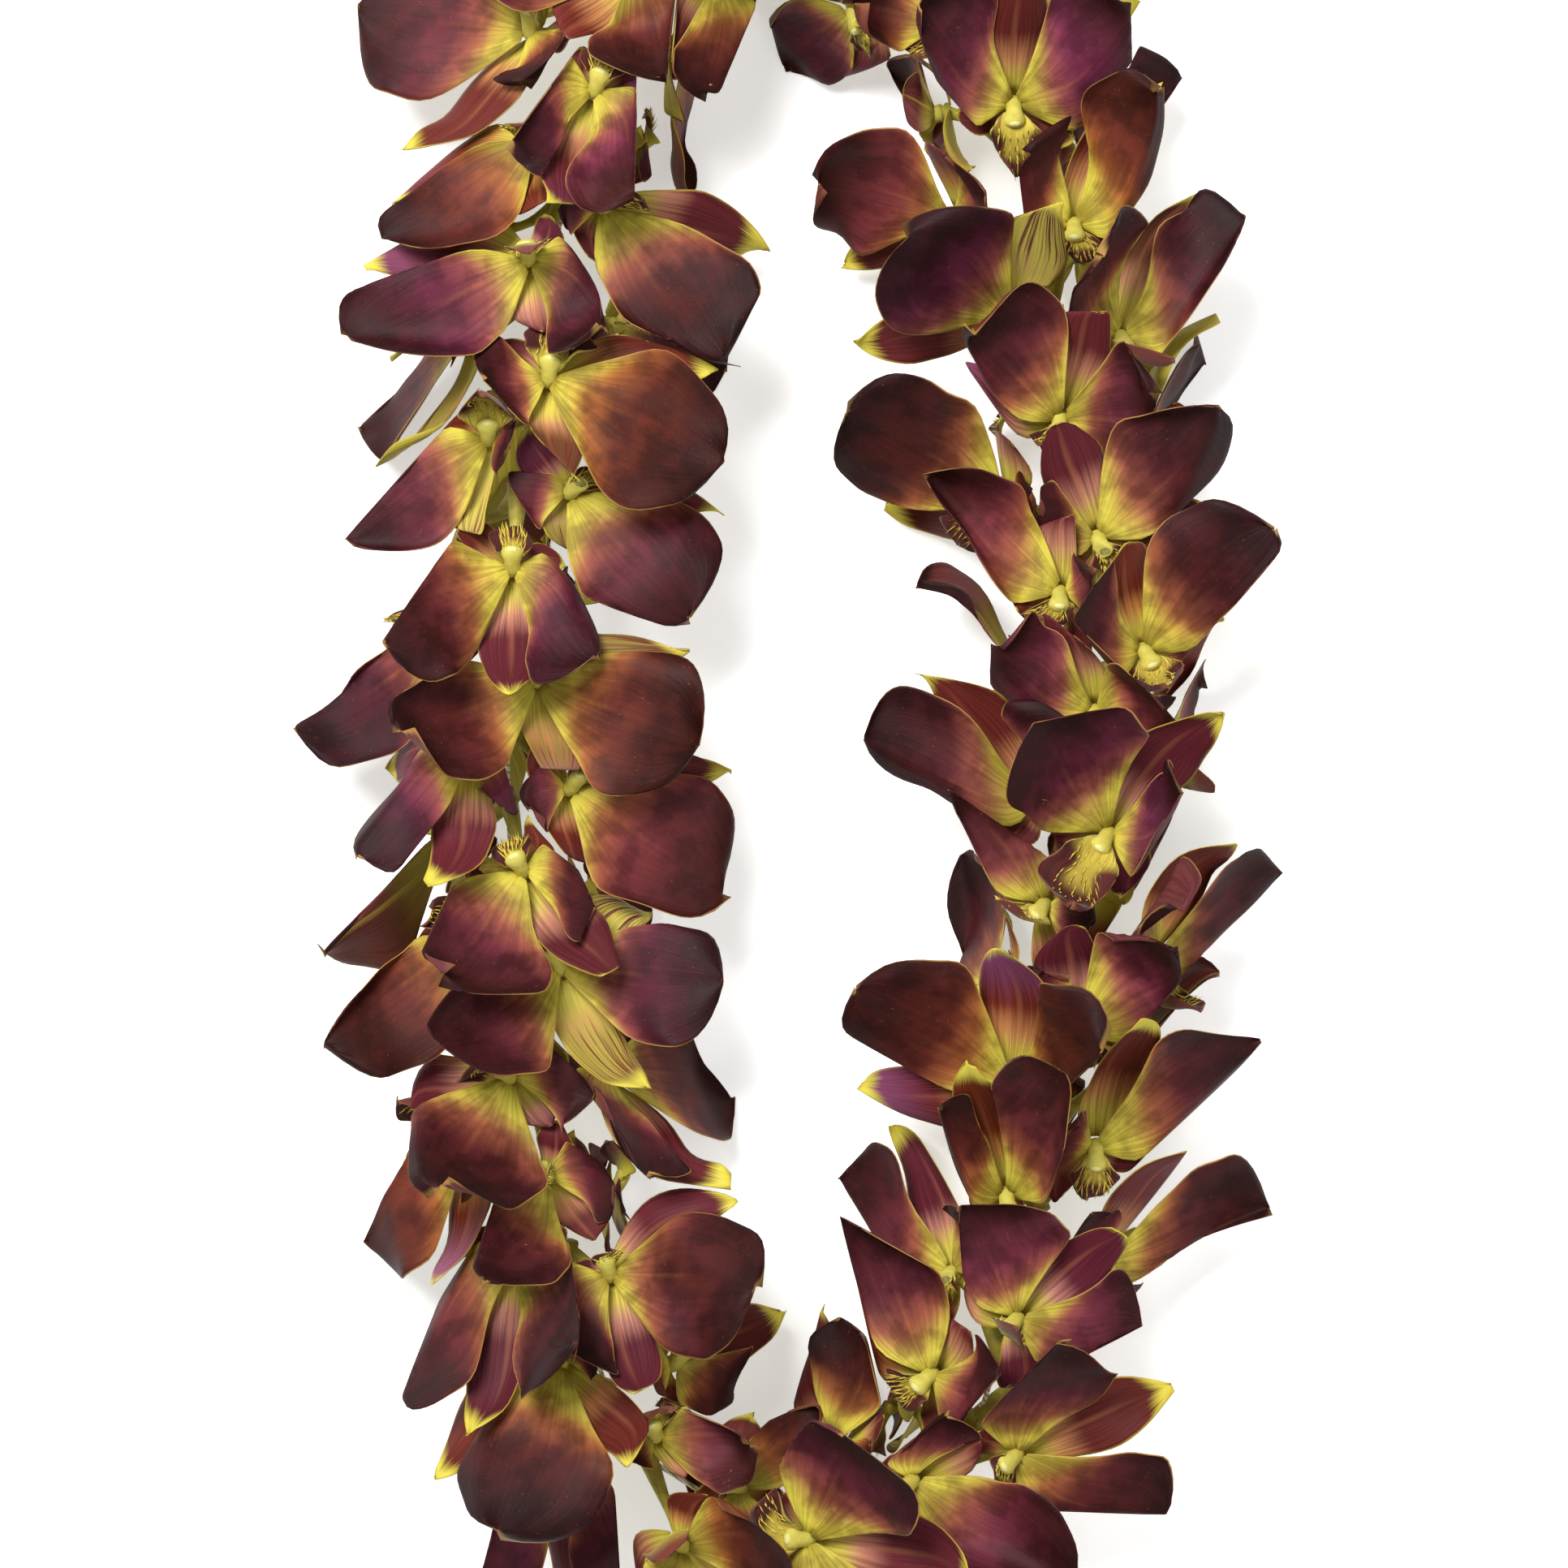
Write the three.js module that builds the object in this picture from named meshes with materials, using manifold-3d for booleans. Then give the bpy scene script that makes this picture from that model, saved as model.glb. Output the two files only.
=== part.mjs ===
// A fresh flower lei: orchid blooms strung thickly on one loop of thread, lying on a flat surface.
// Millimetres, +Z up. The origin is on the surface, under the middle of the lei's outline.
// Every bloom keeps to its own side of a plane between it and each neighbour. Its petals grow outwards from the
// throat and bend along those planes, as petals do that are pressed against each other.

import * as THREE from "three";
import { mergeVertices } from "three/addons/utils/BufferGeometryUtils.js";
import Module from "manifold-3d";

const wasm = await Module();
wasm.setup();

// ---- The loop of thread ----
const LOOP_HALF_WIDTH = 70;
const LOOP_HALF_LENGTH = 192.5;
const LOOP_END_RADIUS = 50;
const THREAD_HEIGHT = 27;
const THREAD_RADIUS = 0.6;
const THREAD_CLEARANCE = 0.4;
const THREAD_SIDES = 4;
const THREAD_STEPS = 48;
const KNOT_RADIUS = 1.7;
const KNOT_TAIL = 9;
const KNOT_PLACE = 0.306; // share of the way round the loop, counted from the right-hand side

// ---- How the blooms are set on the thread ----
const BLOOMS = 98;
const BLOOMS_PER_NODE = 2;
const SPIRAL_TURNS = 37;
const THROAT_SIDEWAYS = 17;
const THROAT_UPWARDS = 12;
const THROAT_JITTER = 1.5;
const STALK_BACKSET = 13;
const FACE_TILT = 8;
const PLACE_PULL = 27;
const FACE_PULL = 68;
const FIRST_ANGLE = 90;
const ANGLE_JITTER = 20;
const TILT_JITTER = 18;
const ROLL_JITTER = 35;
const SIZE_JITTER = 0.12;
const PLACE_JITTER = 0.35;

// ---- How neighbouring blooms press on each other ----
const REACH = 84;
const LEAN = 1.1;
const PILE = 0.95;
const RANK = 0.8;
const TUCK = 0.4;
const GAP = 0.25;
const SOFTENING = 9;
const OUTWARD_PULL = 0.25;
const FLOOR_LIFT = 0.2;
const FLAT_DEPTH = 0.3; // the lowest petals are pressed flat against the surface by this much

// ---- One bloom ----
// The tepals grow from two three-sided rings: sepals from the rear ring, petals and lip from the front ring.
const BLADE_HALF = 0.45;
const STEPS = 16;
const RING_RADIUS = 3;
const RING_NEAR = 1.3;
const RING_FAR = 2.5;
const NECK_DEPTH = 6;
const STALK_RADIUS = 2.3;
const STALK_END_RADIUS = 2.5;
const STALK_END = 2.5;
const TURN_JITTER = 6;
const LIFT_JITTER = 14;
const CURL_JITTER = 35;
const COLUMN_LENGTH = 8;
const OVERLAP_SLOPE = 55;
const INNER_SOFTENING = 4;
const UNDERSIDE = 0.2;
const SHORT_TEPAL = 30;
const SHORTEST_ROW = 2.9;

// turn: degrees from the bloom's top; lift: degrees towards the viewer; curl: degrees over the whole length;
// cup: how far the sides rise towards the viewer; rows: the shares of its length that get points, and fewRows the same
// for a bloom on the underside or a tepal that stays short.
const TEPALS = [
  { kind: "petal", ring: 1, turn: 68, length: 42, width: 39, lift: 6, curl: 4, cup: 0.06,
    rows: [0.3, 0.62, 0.93], fewRows: [0.42, 0.9] },
  { kind: "petal", ring: 1, turn: -68, length: 42, width: 39, lift: 6, curl: 4, cup: 0.06,
    rows: [0.3, 0.62, 0.93], fewRows: [0.42, 0.9] },
  { kind: "lip", ring: 1, turn: 180, length: 19, width: 15, lift: 52, curl: -70, cup: 0.2,
    rows: [0.5, 0.88] },
  { kind: "sepal", ring: -1, turn: 0, length: 42, width: 17, lift: 4, curl: -6, cup: -0.1,
    rows: [0.38, 0.7, 1], fewRows: [0.5, 1] },
  { kind: "sepal", ring: -1, turn: 118, length: 39, width: 17, lift: 8, curl: -12, cup: -0.1,
    rows: [0.5, 1] },
  { kind: "sepal", ring: -1, turn: -118, length: 39, width: 17, lift: 8, curl: -12, cup: -0.1,
    rows: [0.5, 1] },
];

const radians = THREE.MathUtils.degToRad;
const clamp = THREE.MathUtils.clamp;
const UP = new THREE.Vector3(0, 0, 1);

// A fixed draw between -1 and 1 for bloom i and trait k, the same in every run.
function draw(i, k) {
  const x = Math.sin(12.9898 * i + 78.233 * k + 1) * 43758.5453;
  return 2 * (x - Math.floor(x)) - 1;
}

// ---- The loop: an oval of four arcs, a tight one at each end and a wide one at each side ----
class LeiLoop extends THREE.Curve {
  constructor() {
    super();
    const rise = LOOP_HALF_LENGTH - LOOP_END_RADIUS;
    const narrowing = LOOP_HALF_WIDTH - LOOP_END_RADIUS;
    const sideRadius = (rise ** 2 + LOOP_HALF_WIDTH ** 2 - LOOP_END_RADIUS ** 2) / (2 * narrowing);
    const sideAngle = Math.asin(rise / (sideRadius - LOOP_END_RADIUS));
    const endAngle = Math.PI - 2 * sideAngle;
    const sideCentre = LOOP_HALF_WIDTH - sideRadius;
    this.arcs = [
      { x: sideCentre, y: 0, radius: sideRadius, from: 0, sweep: sideAngle },
      { x: 0, y: rise, radius: LOOP_END_RADIUS, from: sideAngle, sweep: endAngle },
      { x: -sideCentre, y: 0, radius: sideRadius, from: Math.PI - sideAngle, sweep: 2 * sideAngle },
      { x: 0, y: -rise, radius: LOOP_END_RADIUS, from: Math.PI + sideAngle, sweep: endAngle },
      { x: sideCentre, y: 0, radius: sideRadius, from: -sideAngle, sweep: sideAngle },
    ];
    this.length = this.arcs.reduce((sum, arc) => sum + arc.radius * arc.sweep, 0);
  }

  // The thread, its direction and the sideways direction away from the loop's middle, at a distance along it.
  at(distance) {
    let left = ((distance % this.length) + this.length) % this.length;
    for (const arc of this.arcs) {
      const span = arc.radius * arc.sweep;
      if (left <= span || arc === this.arcs.at(-1)) {
        const angle = arc.from + left / arc.radius;
        const side = new THREE.Vector3(Math.cos(angle), Math.sin(angle), 0);
        const point = side.clone().multiplyScalar(arc.radius).add(new THREE.Vector3(arc.x, arc.y, THREAD_HEIGHT));
        return { point, side, along: new THREE.Vector3(-side.y, side.x, 0) };
      }
      left -= span;
    }
  }

  getPoint(share, target = new THREE.Vector3()) {
    return target.copy(this.at(share * this.length).point);
  }
}

const loop = new LeiLoop();
const PITCH = loop.length / BLOOMS;
const ROW_PITCH = loop.length / SPIRAL_TURNS;

// ---- Where each bloom sits and how it faces ----
// The blooms wind round the thread. As the lei lies, those at the sides and below are turned somewhat upwards.
function placeBloom(i) {
  const distance = (i + PLACE_JITTER * draw(i, 1)) * PITCH;
  const { point, side, along } = loop.at(distance);
  const even = radians((i * 360 * SPIRAL_TURNS) / BLOOMS + ANGLE_JITTER * draw(i, 2));
  const place = radians(FIRST_ANGLE) + even - radians(PLACE_PULL) * Math.sin(even);
  const turned = radians(FIRST_ANGLE) + even - radians(FACE_PULL) * Math.sin(even);
  const rank = draw(i, 6);
  const rise = THROAT_JITTER * rank;
  const round = (angle, across, up) => {
    return side.clone().multiplyScalar(across * Math.cos(angle)).addScaledVector(UP, up * Math.sin(angle));
  };
  const facing = round(turned, 1, 1);
  const tilt = radians(FACE_TILT + TILT_JITTER * draw(i, 3));
  const face = facing.clone().multiplyScalar(Math.cos(tilt)).addScaledVector(along, -Math.sin(tilt));
  const top = along.clone().multiplyScalar(Math.cos(tilt)).addScaledVector(facing, Math.sin(tilt));
  top.applyAxisAngle(face, radians(ROLL_JITTER * draw(i, 4)));
  return {
    i,
    distance,
    level: PILE * Math.sin(place) + RANK * rank,
    outward: round(place, 1, 1),
    face,
    top,
    across: new THREE.Vector3().crossVectors(top, face),
    throat: point.clone().add(round(place, THROAT_SIDEWAYS + rise, THROAT_UPWARDS + rise)),
    scale: 1 + SIZE_JITTER * draw(i, 5),
  };
}

const blooms = Array.from({ length: BLOOMS }, (_, i) => placeBloom(i));

// The plane between bloom a and bloom b, its normal pointing at b. A bloom lies over those further along the thread.
function wallBetween(a, b) {
  const ahead = (((b.distance - a.distance + 1.5 * loop.length) % loop.length) - loop.length / 2) / ROW_PITCH;
  const tuck = draw(Math.min(a.i, b.i), 10 + Math.max(a.i, b.i)) * TUCK * Math.sign(b.i - a.i);
  const nearness = clamp(2.2 - Math.abs(ahead), 0, 1);
  const pile = a.level - b.level;
  const over = LEAN * clamp(ahead, -1, 1) * nearness + (Math.abs(ahead) < 0.8 ? tuck + pile : 0);
  const way = b.throat.clone().sub(a.throat).normalize();
  const outward = a.outward.clone().add(b.outward);
  outward.addScaledVector(way, -outward.dot(way));
  outward.setLength(Math.min(1, outward.length()));
  const normal = way.addScaledVector(outward, -over).normalize();
  const middle = a.throat.clone().add(b.throat).multiplyScalar(0.5);
  return { normal, limit: normal.dot(middle) - GAP - BLADE_HALF };
}

// The walls of a bloom: its neighbours', the surface that the lei lies on, and the thread.
function wallsOf(bloom) {
  const near = blooms.filter((b) => b !== bloom && b.throat.distanceTo(bloom.throat) < REACH);
  const floor = { normal: UP.clone().negate(), limit: -FLOOR_LIFT };
  const heights = [-24, -12, 0, 12, 24].map((d) => loop.at(bloom.distance + d).point.dot(bloom.outward));
  const threadTop = Math.max(...heights) + THREAD_RADIUS + THREAD_CLEARANCE + BLADE_HALF + GAP;
  const core = { normal: bloom.outward.clone().negate(), limit: -threadTop };
  return [floor, core, ...near.map((b) => wallBetween(bloom, b))];
}

for (const bloom of blooms) bloom.walls = wallsOf(bloom);

// ---- Tepals: the petals, sepals and lip of a bloom ----
const REAR_CORNERS = [60, 180, 300];
const FORE_CORNERS = [0, 120, 240];

// A direction in the plane of a bloom, counted in degrees from its top.
function spreadAt(bloom, turn) {
  const upwards = bloom.top.clone().multiplyScalar(Math.cos(radians(turn)));
  return upwards.addScaledVector(bloom.across, Math.sin(radians(turn)));
}

// The stalk turns back under its bloom to the point where the thread pierces it: two rings of three corners.
function stalkRings(bloom, base) {
  const neck = bloom.throat.clone().addScaledVector(bloom.face, -NECK_DEPTH);
  const back = bloom.face.clone().negate();
  const way = base.clone().sub(neck).normalize();
  const ringAt = (centre, normal, radius) => {
    const bend = new THREE.Quaternion().setFromUnitVectors(back, normal);
    const spreads = REAR_CORNERS.map((turn) => spreadAt(bloom, turn).applyQuaternion(bend));
    return spreads.map((spread) => centre.clone().addScaledVector(spread, radius));
  };
  const end = base.clone().addScaledVector(way, STALK_END);
  return [ringAt(neck, way.clone().add(back).normalize(), STALK_RADIUS), ringAt(end, way, STALK_END_RADIUS)];
}

// The plane in front of the stalk, for a sepal that points the same way as the stalk.
function wallsAtStalk(bloom, tepal) {
  const [neck, end] = bloom.stalk;
  const way = middleOf(end).sub(middleOf(neck)).normalize();
  if (tepal.ring > 0 || way.dot(spreadAt(bloom, tepal.turn)) <= 0) return [];
  const normal = way.clone().multiplyScalar(way.dot(bloom.face)).sub(bloom.face).normalize();
  const nearest = Math.min(...[...neck, ...end].map((corner) => normal.dot(corner)));
  return [{ normal, limit: nearest - BLADE_HALF - GAP, soft: INNER_SOFTENING }];
}

function ringCorner(bloom, turn, height) {
  return bloom.throat.clone().addScaledVector(spreadAt(bloom, turn), RING_RADIUS).addScaledVector(bloom.face, height);
}

// The side of the ring that a tepal grows from: the direction of its middle, in degrees from the bloom's top.
function rootTurn(tepal) {
  return tepal.ring > 0 ? 120 * Math.round((tepal.turn + 60) / 120) - 60 : 120 * Math.round(tepal.turn / 120);
}

// The ring's corners on both sides of a tepal's root, at the front and at the back.
function rootOf(bloom, tepal) {
  const middle = rootTurn(tepal);
  const [back, front] = tepal.ring > 0 ? [RING_NEAR, RING_FAR] : [-RING_FAR, -RING_NEAR];
  return [-60, 60].flatMap((side) => [front, back].map((height) => ringCorner(bloom, middle + side, height)));
}

// The plane between two tepals of one bloom. A tepal of the front ring may lie over one of the rear ring.
function wallInside(bloom, tepal, other) {
  const apart = ((((other.turn - tepal.turn + 540) % 360) + 360) % 360) - 180;
  const slope = tepal.ring === other.ring ? 0 : radians(OVERLAP_SLOPE);
  const normal = spreadAt(bloom, tepal.turn + apart / 2 + 90 * Math.sign(apart)).multiplyScalar(Math.cos(slope));
  normal.addScaledVector(bloom.face, Math.sin(slope) * other.ring);
  const mine = Math.max(...rootOf(bloom, tepal).map((corner) => normal.dot(corner)));
  const theirs = Math.min(...rootOf(bloom, other).map((corner) => normal.dot(corner)));
  return { normal, limit: (mine + theirs) / 2 - BLADE_HALF - GAP / 2, soft: INNER_SOFTENING };
}

function wallsInside(bloom, tepal) {
  const others = TEPALS.filter((other) => other !== tepal);
  return [...others.map((other) => wallInside(bloom, tepal, other)), ...wallsAtStalk(bloom, tepal)];
}

// Half the width of a tepal at a share v of its length, as a share of its half width at the widest.
function outline(kind, v) {
  const rounded = (widest, power) => Math.max(0, 1 - Math.max(0, (v - widest) / (1 - widest)) ** power);
  if (kind === "petal") return Math.min(1, 0.12 + 1.9 * v) * Math.sqrt(rounded(0.55, 2.4));
  if (kind === "sepal") return Math.min(1, 0.35 + 1.5 * v) * rounded(0.3, 2.2) ** 0.8;
  return Math.min(1, 0.4 + 1.1 * v) * Math.sqrt(rounded(0.6, 2.6));
}

// The midrib, step by step from the ring: it curls by itself, turns along each wall that it comes near, and stays short
// where it would have to turn far.
function growMidrib(bloom, tepal, k, walls) {
  const turn = tepal.turn + TURN_JITTER * draw(bloom.i, 20 + k);
  const lift = radians(tepal.lift + LIFT_JITTER * draw(bloom.i, 30 + k));
  const curl = radians(tepal.curl + CURL_JITTER * draw(bloom.i, 40 + k)) / STEPS;
  const step = (tepal.length * bloom.scale) / STEPS;
  const spread = spreadAt(bloom, turn);
  const ahead = spread.clone().multiplyScalar(Math.cos(lift)).addScaledVector(bloom.face, Math.sin(lift));
  const front = bloom.face.clone().multiplyScalar(Math.cos(lift)).addScaledVector(spread, -Math.sin(lift));
  const start = ahead.clone();
  const sideways = new THREE.Vector3().crossVectors(ahead, front);
  const height = (tepal.ring * (RING_NEAR + RING_FAR)) / 2;
  const point = bloom.throat.clone().addScaledVector(spread, RING_RADIUS / 2).addScaledVector(bloom.face, height);
  const rib = [];
  let length = 0;
  for (let i = 0; i <= STEPS; i++) {
    const across = new THREE.Vector3().crossVectors(ahead, front).add(sideways).normalize();
    rib.push({ length, point: point.clone(), across, front: front.clone() });
    ahead.multiplyScalar(Math.cos(curl)).addScaledVector(front, Math.sin(curl));
    for (const wall of walls) {
      const room = wall.limit - wall.normal.dot(point);
      const excess = wall.normal.dot(ahead) - clamp(room / (wall.soft ?? SOFTENING), -0.3, 1);
      if (excess > 0) {
        ahead.addScaledVector(wall.normal, -excess);
        if (!wall.soft) ahead.addScaledVector(bloom.outward, excess * OUTWARD_PULL);
      }
    }
    ahead.normalize();
    front.addScaledVector(ahead, -front.dot(ahead)).normalize();
    const progress = step * clamp(2 * ahead.dot(start) - 0.5, 0.05, 1);
    point.addScaledVector(ahead, progress);
    length += progress;
  }
  return rib;
}

// The midrib at a share of its length.
function ribAt(rib, share) {
  const length = share * rib.at(-1).length;
  const i = clamp(rib.findIndex((place) => place.length >= length), 1, STEPS);
  const [from, to] = [rib[i - 1], rib[i]];
  const part = clamp((length - from.length) / (to.length - from.length), 0, 1);
  const blend = (key) => from[key].clone().lerp(to[key], part);
  return { point: blend("point"), across: blend("across").normalize(), front: blend("front").normalize() };
}

// Moves a point back to the bloom's own side of every wall, and at last towards the safe point by what is still missing.
function keepInside(point, walls, safe) {
  for (let round = 0; round < 4; round++) {
    for (const wall of walls) {
      const excess = wall.normal.dot(point) - wall.limit;
      if (excess > 0) point.addScaledVector(wall.normal, -excess);
    }
  }
  const way = point.clone().sub(safe);
  const shares = walls.map((wall) => {
    const rise = wall.normal.dot(way);
    return rise > 1e-6 ? Math.max(0, wall.limit - wall.normal.dot(safe)) / rise : 1;
  });
  return point.copy(safe).addScaledVector(way, Math.min(1, ...shares));
}

// ---- Solids ----
function solidOf(geometry) {
  geometry.deleteAttribute("normal");
  geometry.deleteAttribute("uv");
  const merged = mergeVertices(geometry, 1e-4);
  const mesh = new wasm.Mesh({
    numProp: 3,
    vertProperties: merged.attributes.position.array,
    triVerts: new Uint32Array(merged.index.array),
  });
  return new wasm.Manifold(mesh);
}

function geometryOf(solid) {
  const mesh = solid.getMesh();
  const geometry = new THREE.BufferGeometry();
  geometry.setAttribute("position", new THREE.BufferAttribute(mesh.vertProperties, 3));
  geometry.setIndex(new THREE.BufferAttribute(mesh.triVerts, 1));
  geometry.computeVertexNormals();
  return geometry;
}

function closedSolid(points, triangles) {
  const geometry = new THREE.BufferGeometry().setFromPoints(points);
  geometry.setIndex(triangles.flat());
  return solidOf(geometry);
}

function middleOf(points) {
  return points.reduce((sum, point) => sum.add(point), new THREE.Vector3()).divideScalar(points.length);
}

// Draws the two points of a row together until the sheet between it and the row before doesn't fold back.
function unfold([a, b], row) {
  const normalOf = (p, q, r) => q.clone().sub(p).cross(r.clone().sub(p)).normalize();
  for (let round = 0; round < 8 && row.length === 2; round++) {
    if (normalOf(a, b, row[1]).dot(normalOf(a, row[1], row[0])) > 0.7) break;
    const middle = row[0].clone().lerp(row[1], 0.5);
    row.forEach((point) => point.lerp(middle, 0.4));
  }
  return row;
}

// The middle surface of a tepal: rows of a left and a right point, or of one point where it has no width.
function tepalRows(bloom, tepal, k) {
  const walls = [...bloom.walls, ...wallsInside(bloom, tepal)];
  const rib = growMidrib(bloom, tepal, k, walls);
  const share = rib.at(-1).length / (tepal.length * bloom.scale);
  const half = (tepal.width / 2) * bloom.scale * clamp(1.6 * share, 0.35, 1);
  const simple = bloom.outward.z < UNDERSIDE || rib.at(-1).length < SHORT_TEPAL;
  const shares = simple && tepal.fewRows ? tepal.fewRows : tepal.rows;
  const [frontA, backA, frontB, backB] = rootOf(bloom, tepal);
  let before = [frontA.lerp(backA, 0.5), frontB.lerp(backB, 0.5)];
  return shares.flatMap((row) => {
    const { point, across, front } = ribAt(rib, row);
    const reach = half * outline(tepal.kind, row);
    const sides = reach < 0.3 ? [0] : [-1, 1];
    const rise = (tepal.cup * reach * reach) / half;
    const points = sides.map((side) => {
      const place = point.clone().addScaledVector(across, side * reach).addScaledVector(front, rise);
      return keepInside(place, walls, rib[0].point);
    });
    if (middleOf(points).distanceTo(middleOf(before)) < SHORTEST_ROW) return [];
    before = unfold(before, points);
    return [points];
  });
}

// One bloom as one closed surface: the two rings, the tepals that grow from their sides, the column and the stalk.
function bloomSolid(bloom) {
  const points = [];
  const triangles = [];
  const add = (point) => points.push(point) - 1;
  const corners = (turns, height) => turns.map((turn) => add(ringCorner(bloom, turn, height)));
  const rings = {
    "-1": { front: corners(REAR_CORNERS, -RING_NEAR), back: corners(REAR_CORNERS, -RING_FAR) },
    1: { front: corners(FORE_CORNERS, RING_FAR), back: corners(FORE_CORNERS, RING_NEAR) },
  };
  const columnEnd = bloom.throat.clone().addScaledVector(bloom.face, RING_FAR + COLUMN_LENGTH);
  const tip = add(keepInside(columnEnd, bloom.walls, bloom.throat));

  const [neckRing, endRing] = bloom.stalk.map((ring) => ring.map(add));
  for (let a = 0; a < 3; a++) {
    const b = (a + 1) % 3;
    const { back } = rings[-1];
    triangles.push([back[a], back[b], neckRing[b]], [back[a], neckRing[b], neckRing[a]]);
    triangles.push([neckRing[a], neckRing[b], endRing[b]], [neckRing[a], endRing[b], endRing[a]]);
    triangles.push([rings[1].front[b], rings[1].front[a], tip]);
    triangles.push([rings[1].back[a], rings[1].back[b], rings[-1].front[a]]);
    triangles.push([rings[-1].front[b], rings[-1].front[a], rings[1].back[b]]);
  }
  triangles.push(endRing);

  TEPALS.forEach((tepal, k) => {
    const ring = rings[tepal.ring];
    const [firstTurn] = tepal.ring > 0 ? FORE_CORNERS : REAR_CORNERS;
    const a = THREE.MathUtils.euclideanModulo(Math.round((rootTurn(tepal) - 60 - firstTurn) / 120), 3);
    const b = (a + 1) % 3;
    let [frontA, frontB, backA, backB] = [ring.front[a], ring.front[b], ring.back[a], ring.back[b]];
    const rows = tepalRows(bloom, tepal, k);
    const root = [points[frontA], points[frontB]];
    let width = 2;
    rows.forEach((row, r) => {
      const along = middleOf(rows[r + 1] ?? row).sub(middleOf(rows[r - 1] ?? root));
      const wide = row.length === 2 ? row : (rows[r - 1] ?? root);
      const normal = wide[1].clone().sub(wide[0]).cross(along).setLength(BLADE_HALF);
      const front = row.map((point) => add(point.clone().add(normal)));
      const back = row.map((point) => add(point.clone().sub(normal)));
      const [nextFrontA, nextFrontB, nextBackA, nextBackB] = [front[0], front.at(-1), back[0], back.at(-1)];
      triangles.push([frontA, frontB, nextFrontB], [backA, nextBackB, backB]);
      if (row.length === 2) triangles.push([frontA, nextFrontB, nextFrontA], [backA, nextBackA, nextBackB]);
      triangles.push([frontA, nextFrontA, nextBackA], [frontA, nextBackA, backA]);
      triangles.push([frontB, nextBackB, nextFrontB], [frontB, backB, nextBackB]);
      [frontA, frontB, backA, backB] = [nextFrontA, nextFrontB, nextBackA, nextBackB];
      width = row.length;
    });
    if (width === 2) triangles.push([frontA, frontB, backB], [frontA, backB, backA]);
  });
  return closedSolid(points, triangles);
}

// A straight rod between two points.
function rodSolid(from, to, radius) {
  const rod = new THREE.CylinderGeometry(radius, radius, from.distanceTo(to), THREAD_SIDES);
  const way = to.clone().sub(from).normalize();
  rod.applyQuaternion(new THREE.Quaternion().setFromUnitVectors(new THREE.Vector3(0, 1, 0), way));
  const middle = from.clone().add(to).multiplyScalar(0.5);
  return solidOf(rod.translate(middle.x, middle.y, middle.z));
}

const threadSolid = (radius) => solidOf(new THREE.TubeGeometry(loop, THREAD_STEPS, radius, THREAD_SIDES, true));

function knotSolid(grow) {
  const { point, along, side } = loop.at(KNOT_PLACE * loop.length);
  const lump = new THREE.IcosahedronGeometry(KNOT_RADIUS + grow, 0).translate(point.x, point.y, point.z);
  const tails = [1, -1].map((way) => {
    const tip = point.clone().addScaledVector(along, way * KNOT_TAIL).addScaledVector(side, KNOT_TAIL / 3);
    return rodSolid(point, tip, THREAD_RADIUS + grow);
  });
  return tails.reduce((all, tail) => all.add(tail), solidOf(lump));
}

const thread = threadSolid(THREAD_RADIUS).add(knotSolid(0));
const threadRoom = threadSolid(THREAD_RADIUS + THREAD_CLEARANCE).add(knotSolid(THREAD_CLEARANCE));
const surface = solidOf(new THREE.BoxGeometry(1000, 1000, 20).translate(0, 0, FLAT_DEPTH - 10));

// The blooms of one node, joined where the thread pierces their stalks.
function bloomsSolid(members) {
  const middle = members.reduce((sum, bloom) => sum + bloom.distance, 0) / members.length;
  const base = loop.at(middle - STALK_BACKSET).point;
  for (const bloom of members) bloom.stalk = stalkRings(bloom, base);
  const pieces = members.map(bloomSolid);
  const joined = pieces.reduce((all, piece) => all.add(piece)).subtract(threadRoom).subtract(surface);
  const bodies = joined.simplify(0.05).decompose();
  return bodies.reduce((largest, body) => (body.volume() > largest.volume() ? body : largest));
}

const petalMaterial = new THREE.MeshStandardMaterial({ color: 0x6b2a3c, roughness: 0.55, metalness: 0 });
const threadMaterial = new THREE.MeshStandardMaterial({ color: 0xe8e2d0, roughness: 0.9, metalness: 0 });

const lei = new THREE.Group();

function addNode(name, solid, material) {
  const mesh = new THREE.Mesh(geometryOf(solid), material);
  mesh.name = name;
  lei.add(mesh);
}

addNode("thread", thread, threadMaterial);
for (let first = 0; first < BLOOMS; first += BLOOMS_PER_NODE) {
  const name = `blooms_${String(first / BLOOMS_PER_NODE + 1).padStart(2, "0")}`;
  addNode(name, bloomsSolid(blooms.slice(first, first + BLOOMS_PER_NODE)), petalMaterial);
}

// The origin goes under the middle of the outline, on the surface.
const middle = new THREE.Box3().setFromObject(lei, true).getCenter(new THREE.Vector3());
lei.position.set(-middle.x, -middle.y, -FLAT_DEPTH);

export default lei;
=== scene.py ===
"""A fresh flower lei: ninety-eight orchid blooms strung closely round a loop of thread, on a pale floor.

Every bloom keeps to its own side of a plane between it and each neighbour. Its petals grow outwards from
the throat, turn along those planes and are pressed flat on them. The shape functions work in millimetres, in
a frame whose origin is on the floor under the middle of the loop, and take whole arrays of blooms at once.
"""
import math

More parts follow.
